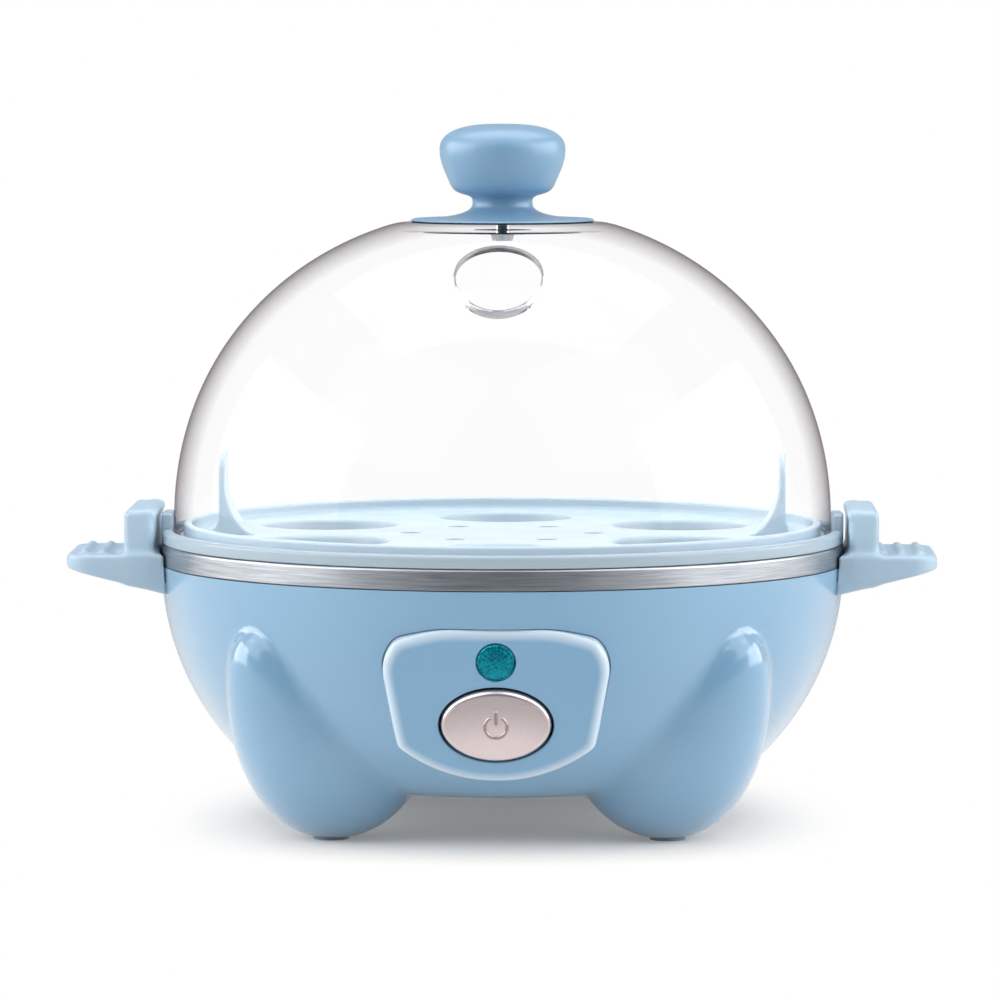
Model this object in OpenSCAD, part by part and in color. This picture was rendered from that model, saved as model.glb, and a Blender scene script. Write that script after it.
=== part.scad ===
// Egg cooker: a moulded bowl on four egg-shaped legs, a steel water pan that steams the eggs, a tray with
// an egg seat at each place, and a clear dome with a mushroom knob. Front is -Y, the grips are on +X and -X.

/* [Bowl] */
// Outside diameter at the rim
rim_d = 164; // [152:1:176]
// Height of the bowl's rim above the table
rim_z = 62; // [58:1:68]
// Radius of the arc that the bowl's side follows
side_arc_r = 64; // [62:1:68]
// Height of the flat belly above the table
belly_z = 11; // [9:0.5:13]
// Wall of the moulded bowl
shell_t = 2.2; // [1.6:0.1:2.8]

/* [Legs] */
// Length of a leg's egg from end to end
leg_len = 60; // [52:1:64]
// Diameter of a leg's egg at half its length
leg_w = 40.7; // [34:0.1:43]
// How far the egg's small end leans outward, in degrees
leg_tilt = 46; // [36:1:50]
// Distance of the egg's middle inside the rim
leg_inset = 20.5; // [19:0.1:23]
// Diameter of the rubber pad under a leg
pad_d = 8.4; // [7:0.1:11]

/* [Grips] */
// How far a grip reaches out beyond the rim
grip_reach = 22; // [18:0.5:28]
// Width of a grip along the rim
grip_w = 37; // [30:1:42]
// Thickness of a grip at its tip
grip_t = 3.7; // [3.2:0.1:5]
// Height of the upright stop on a grip
stop_h = 11; // [7:0.5:14]
// Ribs across the top of a grip
rib_count = 3; // [1:1:3]

/* [Water pan] */
// Height of the steel band around the rim
band_h = 4.6; // [4:0.1:7]
// Sheet thickness of the pan
pan_t = 0.8; // [0.6:0.1:1.2]
// Depth of the pan from its flange to its floor
pan_depth = 17.2; // [14:0.2:19]

/* [Heater] */
// Diameter of the aluminium heat spreader
spreader_d = 84; // [76:1:88]
// Diameter of the ring that the heating tube is bent to
element_d = 60; // [56:1:66]
// Diameter of the heating tube
tube_d = 6.6; // [5:0.2:8]

/* [Egg tray] */
// Egg seats around the tray
egg_count = 6; // [4:1:6]
// Distance of the seats' middles inside the rim
seat_inset = 32.5; // [31.5:0.1:35]
// Diameter of an egg seat's opening
seat_d = 33; // [28:1:35]
// Height of a lifting tab above the tray
tab_h = 19.5; // [12:0.5:24]
// Width of a lifting tab
tab_w = 16; // [10:1:20]

/* [Lid] */
// Distance of the dome's foot inside the rim
lid_inset = 3; // [2.8:0.1:4]
// Height of the dome's curve above its straight foot
dome_h = 75; // [60:1:90]
// Wall of the dome
dome_t = 2; // [1.6:0.1:2.4]
// Diameter of the flat top that the knob stands on
crown_d = 49; // [46:1:60]
// Diameter of the steam vent
vent_d = 20; // [12:1:22]
// Distance of the steam vent from the dome's axis
vent_r = 47.2; // [42:0.5:52]
// Diameter of the knob's head
knob_d = 30.2; // [24:0.5:36]
// Height of the knob above the dome
knob_h = 23.4; // [20:0.5:28]

/* [Control panel] */
// Width of the panel
panel_w = 52; // [50:1:56]
// Height of the panel above its middle
panel_up = 19; // [18.5:0.5:20]
// Height of the panel's middle above the table
panel_z = 35.5; // [34:0.5:37]
// Backward lean of the panel's foot, in degrees
panel_tilt = 12; // [8:1:13]
// Width of the bevel around the panel's face
panel_bevel = 1.6; // [1:0.1:2]
// Diameter of the indicator lens
lens_d = 8.9; // [6.5:0.1:9.5]
// Width of the power button
button_w = 25.5; // [22:0.5:26.5]
// Height of the power button
button_h = 17; // [14:0.5:17.5]
// Travel of the power button
button_travel = 2.5; // [1.5:0.1:3]

/* [Fits] */
// Gap around a piece that moves in an opening
move_gap = 0.5; // [0.3:0.1:0.6]
// Gap under a loose piece where it rests
seat_gap = 0.05; // [0.02:0.01:0.1]
// Shank diameter of the screws
screw_d = 3; // [2.5:0.1:3.2]

/* [Hidden] */
$fn = 64;

// Bowl: its side is an arc whose centre lies at the rim's height
rim_r = rim_d / 2;
arc_c = rim_r - side_arc_r;
big = 2 * rim_d;
function bowl_r(z, inset = 0) = arc_c + sqrt(pow(side_arc_r - inset, 2) - pow(rim_z - z, 2));

// Screws
screw_r = screw_d / 2;
hole_r = screw_r + 0.2;
head_r = screw_r + 1.4;
head_h = 1.6;

// Steel band, gasket and the lip under them
band_gap = 0.6;
band_z = rim_z + band_gap;
band_top = band_z + band_h;
flange_z = band_top - pan_t;
gasket_h = 1.8;
lip_t = 2.6;
lip_r = rim_r - pan_t - 0.4;
lip_top = flange_z - gasket_h;

// Pan: the wall tapers to a rounded floor
pan_r = rim_r - 7;
pan_taper = 3;
pan_corner = 3;
pan_z = band_top - pan_depth;

// Legs: an egg of revolution around a leaning axis, set so that its lowest point is the foot plane
leg_angles = [45, 135, 225, 315];
leg_taper = 0.37;
leg_steps = 14;
leg_c = rim_r - leg_inset;
function egg_r(s, r) = r * sqrt(max(0, 1 - s * s)) * (1 - leg_taper * s);
function egg_s(i) = -cos(180 * i / leg_steps);
function egg_low(i) = egg_s(i) * leg_len / 2 * cos(leg_tilt) - egg_r(egg_s(i), leg_w / 2) * sin(leg_tilt);
leg_c_z = -min([for (i = [0:leg_steps]) egg_low(i)]);
pad_h = 1.6;
foot_z = 0.4;
foot_floor_z = 4;
foot_low = [for (i = [0:leg_steps]) if (egg_low(i) < 0.01 - leg_c_z) egg_s(i)][0];
foot_r = leg_c + foot_low * leg_len / 2 * sin(leg_tilt) + egg_r(foot_low, leg_w / 2) * cos(leg_tilt);

// Bottom cover, between the legs' lower ends
cover_gap = 5.9;
cover_d = 2 * (leg_c - leg_len / 2 * sin(leg_tilt) - cover_gap);
cover_t = 2;
cover_recess = 1.4;
cover_fit = 0.25;
cover_top_z = belly_z + cover_recess;
cover_open_d = cover_d - 14;
cover_screw_r = cover_d / 2 - 3.5;
cover_screw_angles = [30, 150, 270];
cover_boss_h = 10;
// Vent slots: length and width, rings from the opening's edge inwards, and as many slots as fit on each ring
vent_slot = [7, 2.2];
vent_pitch = 11;
vent_radii = [for (r = cover_open_d / 2 - 6; r > 6; r = r - vent_pitch) r];
function vent_count(r) = round(2 * PI * r / vent_pitch);

// Screw towers that pull the pan down, and the heat shield on top of them
tower_angles = [-14, 90, 194];
standoff_r = 3;
tower_gap = 5;
tower_ring_r = spreader_d / 2 + standoff_r + tower_gap;
tower_r = 5.2;
tower_top_z = belly_z + 19.5;
tower_deck = 3;
tower_bite = 8;
shield_t = 0.6;
shield_d = spreader_d + 4;
shield_rim_h = 7;
shield_hole_r = 14;
shield_arm_w = 12;

// Heater stack under the pan's floor
spreader_t = 3;
spreader_hole_d = 20;
spreader_z = pan_z - spreader_t;
tube_sink = 1.5;
tube_z = spreader_z + tube_sink - tube_d / 2;
element_open = 50;
element_leg = 11;
element_leg_r = tube_d / 2 - 1.1;
sensor_cap_r = 9.3;
sensor_body_r = 8.3;
sensor_cap_h = 6;
sensor_h = 12.8;
sensor_z = pan_z - sensor_h;
strap_t = 1;
strap_w = 10;
strap_leg_x = 12;
strap_foot = 11;
fuse_r = 2.2;
fuse_y = -18;
fuse_sink = 1.5;

// Grips
grip_r = rim_r + grip_reach;
grip_root_z = rim_z - 8.4;
grip_top_z = rim_z + 2.7;
grip_corner = 6;
stop_r = rim_r + 1;
stop_t = 7;
stop_lip = 0.4;
grip_screw_y = 11;
grip_screw_z = rim_z - 1;
grip_boss_x = rim_r - 5.6;
grip_screw_len = 12.4;

// Control panel, in a frame whose z is the outward normal of its face and whose y runs up the face
panel_face_r = rim_r - panel_up * sin(panel_tilt) - 0.1;
panel_t = 2;
panel_fit = 0.25;
pocket_depth = 0.6;
panel_corner_r = 10;
panel_crown_r = 73;
panel_corner_drop = 11;
panel_low_r = 11;
panel_low_in = 14;
panel_low_y = -8;
panel_chin_r = 35.6;
panel_down = 18.7;
window_ledge = 5;
post_r = 2.6;
post_x = 16.6;
post_y = 1.5;
bracket_z = -11.4;
bracket_t = 1.6;
bracket_w = 46;
rail_w = 3.6;
rail_len = 14;
rail_y = -4;
lens_y = 10.4;
lens_fit = 0.1;
lens_flange = 1;
lamp_r = 2.4;
button_y = -4.65;
button_flange = 1;
button_proud = 0.7;
button_dome_r = 90;
switch_front = -7;
switch_size = [15, 13, 12];
plunger_r = 3;
plunger_fit = 0.1;

// Rear cord inlet
gland_z = 27;
gland_boss_r = 8;
gland_bore_r = 3.6;
gland_body_r = 5;
gland_flange_r = 6.6;
gland_flange_t = 2;
gland_face_y = bowl_r(gland_z + gland_boss_r) + 0.7;
gland_len = 13;

// Terminal block, between the rear screw tower and the middle
block_size = [24, 11, 10];
block_gap = 2.8;
block_y = tower_ring_r - tower_r - block_gap - block_size[1];
block_z = belly_z + shell_t;
block_pole = 6;
block_hole_r = 2;

// Egg tray, which stands on the pan's flange
tray_z = band_top + seat_gap;
tray_rim_h = 3;
tray_floor_t = 1.8;
tray_lip_h = 4.7;
tray_lip_t = 2;
tray_skirt_t = 1.3;
tray_skirt_h = 2.2;
groove_floor = 1.6;
groove_gap = 0.4;
seat_ring_r = rim_r - seat_inset;
seat_wall = 1.4;
seat_drop = 9;
seat_draft = 2;
steam_holes = 6;
steam_hole_r = 2.5;
steam_ring_r = 22;
lug_w = 14;
lug_h = 3.8;
lug_slot = 1.8;
tab_r = rim_r - 14;
tab_t = 1.5;
tab_flare = 3.3;
tab_root = 8.5;
tab_corner = 4;

// Lid
dome_r = rim_r - lid_inset;
dome_foot_z = tray_z + groove_floor + seat_gap;
dome_spring_z = dome_foot_z + 3.2;
dome_power = 2 / 2.1;
crown_a = acos(pow(crown_d / 2 / dome_r, 1 / dome_power));
crown_z = dome_spring_z + dome_h * pow(sin(crown_a), dome_power);
crown_in_a = asin(pow((crown_z - dome_t - dome_spring_z) / (dome_h - dome_t), 1 / dome_power));
dome_steps = 22;
knob_flange_r = 22;
knob_flange_t = 0.6;
knob_neck_r = 7.2;
knob_neck_z = 4.4;
knob_waist = 1.2;
knob_corner = 2.5;
knob_under = 2.4;
knob_top_h = 6.2;
knob_power = 2 / 2.4;
knob_steps = 6;
knob_bore_h = 14;
washer_r = 7;
washer_t = 1;

function ring_point(r, a) = [r * cos(a), r * sin(a), 0];

// ---------- shared shapes ----------

// Half section of the bowl below its rim, shrunk by inset
module bowl_section(inset = 0) {
    difference() {
        translate([arc_c, rim_z])
            circle(r = side_arc_r - inset, $fn = 128);
        translate([-big, -big])
            square([big, 2 * big]);
        translate([-1, rim_z])
            square([big, big]);
        translate([-1, belly_z + inset - big])
            square([big, big]);
    }
}

// The bowl's solid form, shrunk by inset
module bowl_solid(inset = 0) {
    rotate_extrude()
        bowl_section(inset);
}

// One leg's egg, shrunk by inset
module leg_egg(inset = 0) {
    half = leg_len / 2 - inset;
    translate([leg_c, 0, leg_c_z])
        rotate([0, leg_tilt, 0])
            rotate_extrude()
                polygon([for (i = [0:leg_steps]) [egg_r(egg_s(i), leg_w / 2 - inset), egg_s(i) * half]]);
}

// Pan-head screw with its head's bearing face at z = 0 and its shank towards +z
module screw(length, shank = screw_r) {
    cylinder(r = shank, h = length);
    translate([0, 0, -head_h])
        cylinder(r1 = head_r - 0.5, r2 = head_r, h = head_h);
}

// Puts a shape drawn in the panel's frame on the front of the bowl
module on_panel() {
    translate([0, -panel_face_r, panel_z])
        rotate([90 + panel_tilt, 0, 0])
            children();
}

// Outline of the panel, shrunk by inset: four round corners, cut by a shallow crown and a fuller chin
module panel_outline(inset = 0) {
    intersection() {
        hull()
            for (side = [-1, 1]) {
                translate([side * (panel_w / 2 - panel_corner_r), panel_up - panel_corner_drop])
                    circle(r = panel_corner_r - inset, $fn = 48);
                translate([side * (panel_w / 2 - panel_low_in), panel_low_y])
                    circle(r = panel_low_r - inset, $fn = 48);
            }
        translate([0, panel_up - panel_crown_r])
            circle(r = panel_crown_r - inset, $fn = 180);
        translate([0, panel_chin_r - panel_down])
            circle(r = panel_chin_r - inset, $fn = 120);
    }
}

// Ellipse of the button, grown by margin
module button_outline(margin = 0) {
    polygon([for (a = [0:7.5:359])
        [(button_w / 2 + margin) * cos(a), (button_h / 2 + margin) * sin(a) + button_y]]);
}

// ---------- base: shells ----------

module base_housing() {
    color("lightsteelblue")
        difference() {
            union() {
                difference() {
                    union() {
                        bowl_solid();
                        for (a = leg_angles)
                            rotate(a)
                                leg_egg();
                        gland_boss();
                    }
                    housing_hollow();
                    panel_pocket();
                    foot_cuts();
                }
                housing_lip();
                inner_bosses();
            }
            base_openings();
        }
}

// Rear boss that carries the cord inlet
module gland_boss() {
    translate([0, gland_face_y, gland_z])
        rotate([90, 0, 0])
            cylinder(r = gland_boss_r, h = gland_len);
}

module housing_hollow() {
    difference() {
        union() {
            bowl_solid(shell_t);
            translate([0, 0, rim_z - 0.5])
                cylinder(r = rim_r - shell_t, h = 3);
            for (a = leg_angles)
                rotate(a)
                    intersection() {
                        leg_egg(shell_t);
                        translate([0, -rim_r, foot_floor_z])
                            cube([big, rim_d, rim_z]);
                    }
        }
        translate([0, gland_face_y, gland_z])
            rotate([90, 0, 0])
                cylinder(r = gland_boss_r, h = gland_len);
    }
}

// Shallow seat for the panel's rim, and the window behind it
module panel_pocket() {
    difference() {
        on_panel()
            translate([0, 0, -big / 4])
                linear_extrude(big / 4 + 5)
                    panel_outline(-panel_fit);
        bowl_solid(pocket_depth);
    }
    on_panel()
        translate([0, 0, -22]) {
            linear_extrude(30)
                panel_outline(window_ledge);
            translate([0, lens_y, 0])
                cylinder(r = lens_d / 2 + lens_flange + move_gap, h = 30);
        }
}

// Flat undersides of the legs, with a recess for each pad
module foot_cuts() {
    translate([-rim_r, -rim_r, foot_z - 10])
        cube([rim_d, rim_d, 10]);
    for (a = leg_angles)
        rotate(a)
            translate([foot_r, 0, 0])
                cylinder(r = pad_d / 2, h = pad_h);
}

// Bottom opening with its recess, the screw wells and every hole through the shell
module base_openings() {
    translate([0, 0, belly_z - 5])
        cylinder(d = cover_open_d, h = 5 + shell_t + 1);
    translate([0, 0, cover_top_z - 5])
        cylinder(d = cover_d + 2 * cover_fit, h = 5);
    for (a = cover_screw_angles)
        translate(ring_point(cover_screw_r, a) + [0, 0, cover_top_z - 1])
            cylinder(r = screw_r, h = cover_boss_h);
    for (a = tower_angles)
        translate(ring_point(tower_ring_r, a)) {
            translate([0, 0, belly_z - 1])
                cylinder(r = head_r + 0.5, h = tower_top_z - belly_z - tower_deck + 1);
            cylinder(r = hole_r, h = tower_top_z + 1);
        }
    translate([0, gland_face_y + 1, gland_z])
        rotate([90, 0, 0])
            cylinder(r = gland_body_r, h = gland_len + 2);
    for (side = [0, 180], y = [-grip_screw_y, grip_screw_y])
        rotate(side)
            translate([grip_boss_x - 1, y, grip_screw_z])
                rotate([0, 90, 0])
                    cylinder(r = hole_r, h = 10);
}

// Ring that the gasket sits on
module housing_lip() {
    difference() {
        translate([0, 0, rim_z - 2])
            cylinder(r = lip_r, h = lip_top - rim_z + 2, $fn = 128);
        translate([0, 0, rim_z - 3])
            cylinder(r = lip_r - lip_t, h = lip_top - rim_z + 4, $fn = 128);
    }
}

// Bosses, screw towers and rails inside the shell, before their holes
module inner_bosses() {
    for (a = cover_screw_angles)
        translate(ring_point(cover_screw_r, a) + [0, 0, cover_top_z])
            cylinder(r = screw_r + 1.7, h = cover_boss_h);
    intersection() {
        union() {
            for (a = tower_angles)
                translate(ring_point(tower_ring_r, a) + [0, 0, belly_z])
                    cylinder(r = tower_r, h = tower_top_z - belly_z);
            // flat seats for the grip screws
            for (side = [0, 180], y = [-grip_screw_y, grip_screw_y])
                rotate(side)
                    translate([grip_boss_x, y, grip_screw_z])
                        rotate([0, 90, 0])
                            cylinder(r = head_r + 0.5, h = 5);
            // rails that the switch bracket is clamped to
            on_panel()
                for (side = [-1, 1])
                    translate([side * (bracket_w - rail_w) / 2, rail_y, bracket_z + 6])
                        cube([rail_w, rail_len, 12], center = true);
        }
        bowl_solid(0.8);
    }
}

module bottom_cover() {
    color("lightsteelblue")
        difference() {
            translate([0, 0, cover_top_z - cover_t])
                cylinder(d = cover_d, h = cover_t);
            for (a = cover_screw_angles)
                translate(ring_point(cover_screw_r, a))
                    cylinder(r = hole_r, h = big);
            for (r = vent_radii, i = [0:vent_count(r) - 1])
                rotate((i + 0.5) * 360 / vent_count(r))
                    translate([r, 0, cover_top_z - cover_t / 2])
                        cube([vent_slot[0], vent_slot[1], 2 * cover_t], center = true);
        }
}

module cover_screws() {
    color("silver")
        for (a = cover_screw_angles)
            translate(ring_point(cover_screw_r, a) + [0, 0, cover_top_z - cover_t])
                screw(cover_t + cover_boss_h - 3);
}

module foot_pads() {
    color("dimgray")
        for (a = leg_angles)
            rotate(a)
                translate([foot_r, 0, 0])
                    cylinder(r = pad_d / 2, h = pad_h);
}

// ---------- base: grips ----------

// Side view of a grip, x outward
module grip_profile() {
    span = grip_r - 3 - (rim_r - 1);
    rise = grip_top_z - grip_t - grip_root_z;
    polygon(concat(
        [for (a = [0:15:90]) [rim_r - 1 + span * (1 - cos(a)), grip_root_z + rise * sin(a)]],
        [[grip_r - 1, grip_top_z - grip_t], [grip_r, grip_top_z - grip_t + 1]],
        [[grip_r, grip_top_z - 1], [grip_r - 1, grip_top_z], [rim_r - 1, grip_top_z]]
    ));
}

module stop_profile() {
    top = grip_top_z + stop_h;
    polygon([
        [stop_r, grip_top_z - 1],
        [stop_r, top - 2.4],
        [stop_r - stop_lip, top - 1.6],
        [stop_r - stop_lip, top - 0.6],
        [stop_r + 0.4, top],
        [stop_r + stop_t - 1.5, top],
        [stop_r + stop_t - 0.4, top - 0.6],
        [stop_r + stop_t, top - 1.8],
        [stop_r + stop_t, grip_top_z - 1]
    ]);
}

module grip() {
    difference() {
        union() {
            intersection() {
                rotate([90, 0, 0])
                    translate([0, 0, -grip_w / 2])
                        linear_extrude(grip_w)
                            grip_profile();
                grip_plan();
            }
            rotate([90, 0, 0])
                translate([0, 0, -grip_w / 2 + 1])
                    linear_extrude(grip_w - 2)
                        stop_profile();
            for (i = [0:rib_count - 1])
                translate([grip_r - 4.1 - i * 4.45, 0, grip_top_z - 0.2])
                    rotate([90, 0, 0])
                        cylinder(r = 1, h = grip_w - 10, center = true, $fn = 24);
        }
        bowl_solid();
        translate([0, 0, rim_z - 0.01])
            cylinder(r = rim_r + move_gap, h = grip_top_z - rim_z + 0.02, $fn = 128);
        for (y = [-grip_screw_y, grip_screw_y])
            translate([grip_boss_x, y, grip_screw_z])
                rotate([0, 90, 0])
                    cylinder(r = screw_r, h = grip_screw_len);
    }
}

// Plan of a grip, with rounded outer corners
module grip_plan() {
    translate([0, 0, grip_root_z - 1])
        linear_extrude(grip_top_z - grip_root_z + 2) {
            translate([0, -grip_w / 2])
                square([grip_r - grip_corner, grip_w]);
            translate([0, -grip_w / 2 + grip_corner])
                square([grip_r, grip_w - 2 * grip_corner]);
            for (side = [-1, 1])
                translate([grip_r - grip_corner, side * (grip_w / 2 - grip_corner)])
                    circle(r = grip_corner);
        }
}

module side_handle_right() {
    color("lightblue")
        grip();
}

module side_handle_left() {
    color("lightblue")
        rotate(180)
            grip();
}

module handle_screws() {
    color("silver")
        for (side = [0, 180], y = [-grip_screw_y, grip_screw_y])
            rotate(side)
                translate([grip_boss_x, y, grip_screw_z])
                    rotate([0, 90, 0])
                        screw(grip_screw_len - 0.5);
}

// ---------- base: water pan and heater ----------

module heating_pan() {
    foot_r_out = pan_r - pan_taper;
    color("silver")
        rotate_extrude($fn = 128)
            polygon([
                [0, pan_z],
                [foot_r_out - pan_corner, pan_z],
                [foot_r_out - 0.9, pan_z + 0.9],
                [foot_r_out, pan_z + pan_corner],
                [pan_r, flange_z],
                [rim_r - pan_t, flange_z],
                [rim_r - pan_t, band_z],
                [rim_r, band_z],
                [rim_r, band_top - 0.5],
                [rim_r - 0.5, band_top],
                [pan_r - pan_t, band_top],
                [foot_r_out - pan_t, pan_z + pan_corner],
                [foot_r_out - 0.9 - pan_t * 0.7, pan_z + 0.9 + pan_t * 0.7],
                [foot_r_out - pan_corner, pan_z + pan_t],
                [0, pan_z + pan_t]
            ]);
}

module pan_gasket() {
    color("gainsboro")
        translate([0, 0, lip_top])
            difference() {
                cylinder(r = lip_r, h = gasket_h, $fn = 128);
                translate([0, 0, -1])
                    cylinder(r = lip_r - lip_t, h = gasket_h + 2, $fn = 128);
            }
}

module pan_standoffs() {
    color("silver")
        for (a = tower_angles)
            translate(ring_point(tower_ring_r, a) + [0, 0, tower_top_z + shield_t])
                difference() {
                    cylinder(r = standoff_r, h = pan_z - tower_top_z - shield_t);
                    cylinder(r = screw_r, h = tower_bite + 2);
                }
}

module pan_screws() {
    color("silver")
        for (a = tower_angles)
            translate(ring_point(tower_ring_r, a) + [0, 0, tower_top_z - tower_deck])
                screw(tower_deck + shield_t + tower_bite);
}

// The bent tube, which the spreader's groove takes as well
module element_ring(open = element_open) {
    translate([0, 0, tube_z])
        rotate(90 + open / 2)
            rotate_extrude(angle = 360 - open)
                translate([element_d / 2, 0])
                    circle(d = tube_d, $fn = 32);
}

module heat_spreader() {
    color("gainsboro")
        difference() {
            translate([0, 0, spreader_z])
                cylinder(d = spreader_d, h = spreader_t);
            translate([0, 0, spreader_z - 1])
                cylinder(d = spreader_hole_d, h = spreader_t + 2);
            element_ring();
            fuse_body();
            for (side = [-1, 1])
                translate([side * strap_screw_x(), 0, spreader_z])
                    cylinder(r = screw_r, h = spreader_t - 0.5);
        }
}

function strap_screw_x() = strap_leg_x + strap_foot / 2;

module heating_element() {
    color("dimgray") {
        element_ring();
        for (side = [-1, 1])
            rotate(90 + side * (element_open / 2 + 7))
                translate([element_d / 2, 0, tube_z - element_leg])
                    cylinder(r = element_leg_r, h = element_leg);
    }
}

module thermostat() {
    color("dimgray") {
        translate([0, 0, pan_z - sensor_cap_h])
            cylinder(r = sensor_cap_r, h = sensor_cap_h);
        translate([0, 0, sensor_z])
            cylinder(r = sensor_body_r, h = sensor_h - sensor_cap_h + 0.5);
        for (side = [-1, 1])
            translate([-3, side < 0 ? -15 : 7, sensor_z + 2])
                cube([6, 8, 0.8]);
    }
}

// Strap that holds the thermostat against the pan
module thermostat_bracket() {
    color("silver")
        difference() {
            union() {
                translate([-strap_leg_x - strap_t, -strap_w / 2, sensor_z - strap_t])
                    cube([2 * (strap_leg_x + strap_t), strap_w, strap_t]);
                for (side = [0, 180])
                    rotate(side) {
                        translate([strap_leg_x, -strap_w / 2, sensor_z - strap_t])
                            cube([strap_t, strap_w, spreader_z - sensor_z + strap_t]);
                        translate([strap_leg_x, -strap_w / 2, spreader_z - strap_t])
                            cube([strap_foot, strap_w, strap_t]);
                    }
            }
            for (side = [-1, 1])
                translate([side * strap_screw_x(), 0, 0])
                    cylinder(r = hole_r, h = big);
        }
}

module bracket_screws() {
    color("silver")
        for (side = [-1, 1])
            translate([side * strap_screw_x(), 0, spreader_z - strap_t])
                screw(strap_t + spreader_t - 0.5);
}

module fuse_body() {
    translate([-6, fuse_y, spreader_z + fuse_sink - fuse_r])
        rotate([0, 90, 0])
            cylinder(r = fuse_r, h = 12, $fn = 32);
}

module thermal_fuse() {
    color("white") {
        fuse_body();
        translate([-11, fuse_y, spreader_z + fuse_sink - fuse_r])
            rotate([0, 90, 0])
                cylinder(r = 0.6, h = 22, $fn = 16);
    }
}

// Dish that keeps the heat off the moulded bowl, with an arm to each screw tower
module heat_shield() {
    arm_r = shield_d / 2 - shield_t / 2;
    color("gainsboro")
        translate([0, 0, tower_top_z])
            difference() {
                union() {
                    rotate_extrude()
                        polygon([
                            [shield_hole_r, 0],
                            [shield_d / 2, 0],
                            [shield_d / 2, shield_rim_h],
                            [shield_d / 2 - shield_t, shield_rim_h],
                            [shield_d / 2 - shield_t, shield_t],
                            [shield_hole_r, shield_t]
                        ]);
                    for (a = tower_angles)
                        rotate(a)
                            translate([arm_r, -shield_arm_w / 2, 0])
                                cube([tower_ring_r + shield_arm_w / 2 - arm_r, shield_arm_w, shield_t]);
                }
                for (a = tower_angles)
                    translate(ring_point(tower_ring_r, a) + [0, 0, -1])
                        cylinder(r = hole_r, h = 3);
            }
}

// ---------- base: control panel ----------

module control_panel() {
    color("lightsteelblue")
        difference() {
            on_panel()
                panel_shell();
            bowl_solid(pocket_depth);
        }
    color("lightsteelblue")
        on_panel()
            for (side = [-1, 1])
                translate([side * post_x, post_y, bracket_z])
                    difference() {
                        cylinder(r = post_r, h = -bracket_z - panel_t + 0.5);
                        translate([0, 0, -1])
                            cylinder(r = screw_r - 0.5, h = 8);
                    }
}

module panel_shell() {
    difference() {
        union() {
            hull() {
                translate([0, 0, -0.2])
                    linear_extrude(0.2)
                        panel_outline(panel_bevel);
                translate([0, 0, -panel_bevel - 0.2])
                    linear_extrude(0.2)
                        panel_outline();
            }
            translate([0, 0, -20])
                linear_extrude(20 - panel_bevel - 0.1)
                    panel_outline();
        }
        translate([0, 0, -21])
            linear_extrude(21 - panel_t)
                panel_outline(panel_t);
        translate([0, 0, -4])
            linear_extrude(6)
                button_outline(move_gap);
        translate([0, lens_y, -4])
            cylinder(d = lens_d + 2 * lens_fit, h = 6);
    }
}

module panel_screws() {
    color("silver")
        on_panel()
            for (side = [-1, 1])
                translate([side * post_x, post_y, bracket_z - bracket_t])
                    screw(bracket_t + 6, screw_r - 0.5);
}

module switch_bracket() {
    color("silver")
        on_panel()
            difference() {
                translate([-bracket_w / 2, -11, bracket_z - bracket_t])
                    cube([bracket_w, 16, bracket_t]);
                translate([0, button_y, bracket_z])
                    cube([switch_size[0], switch_size[1], 4 * bracket_t], center = true);
                for (side = [-1, 1])
                    translate([side * post_x, post_y, bracket_z - bracket_t - 1])
                        cylinder(r = screw_r - 0.3, h = bracket_t + 2);
            }
}

module power_switch() {
    color("dimgray")
        on_panel() {
            difference() {
                translate([-switch_size[0] / 2, button_y - switch_size[1] / 2, switch_front - switch_size[2]])
                    cube(switch_size);
                translate([0, button_y, switch_front - button_travel - 2])
                    cylinder(r = plunger_r + plunger_fit, h = button_travel + 3);
            }
            for (side = [-1, 1])
                translate([side * 4 - 0.4, button_y - 2, switch_front - switch_size[2] - 6])
                    cube([0.8, 4, 6.5]);
        }
}

module indicator_lens() {
    color("teal")
        on_panel()
            translate([0, lens_y, 0])
                difference() {
                    union() {
                        translate([0, 0, -8])
                            cylinder(r = lamp_r + 1, h = 7);
                        translate([0, 0, -panel_t - 1])
                            cylinder(d = lens_d + 2 * lens_flange, h = 1);
                        translate([0, 0, -panel_t - 0.5])
                            cylinder(d = lens_d, h = panel_t + 0.5);
                        intersection() {
                            cylinder(d = lens_d, h = 3);
                            translate([0, 0, 0.8 - lens_d])
                                sphere(r = lens_d);
                        }
                    }
                    translate([0, 0, -9])
                        cylinder(r = lamp_r, h = 8);
                }
}

module indicator_lamp() {
    color("orange")
        on_panel()
            translate([0, lens_y, -11])
                cylinder(r = lamp_r, h = 9.5);
}

// ---------- power button ----------

module power_button() {
    color("silver")
        on_panel() {
            intersection() {
                translate([0, 0, -panel_t - 0.4])
                    linear_extrude(panel_t + 3)
                        button_outline();
                translate([0, button_y, button_proud - button_dome_r + 0.9])
                    sphere(r = button_dome_r, $fn = 180);
            }
            translate([0, 0, -panel_t - 1.3])
                linear_extrude(1)
                    button_outline(button_flange);
        }
}

module switch_plunger() {
    color("white")
        on_panel()
            translate([0, button_y, switch_front - 1.5])
                cylinder(r = plunger_r, h = 1.5 - switch_front - panel_t - 1.3);
}

// ---------- base: cord entry ----------

module terminal_block() {
    color("white")
        difference() {
            translate([-block_size[0] / 2, block_y, block_z])
                cube(block_size);
            for (side = [-1, 1])
                translate([side * block_pole, block_y - 1, block_z + block_size[2] / 2])
                    rotate([-90, 0, 0])
                        cylinder(r = block_hole_r, h = block_size[1] + 2, $fn = 24);
        }
}

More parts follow.
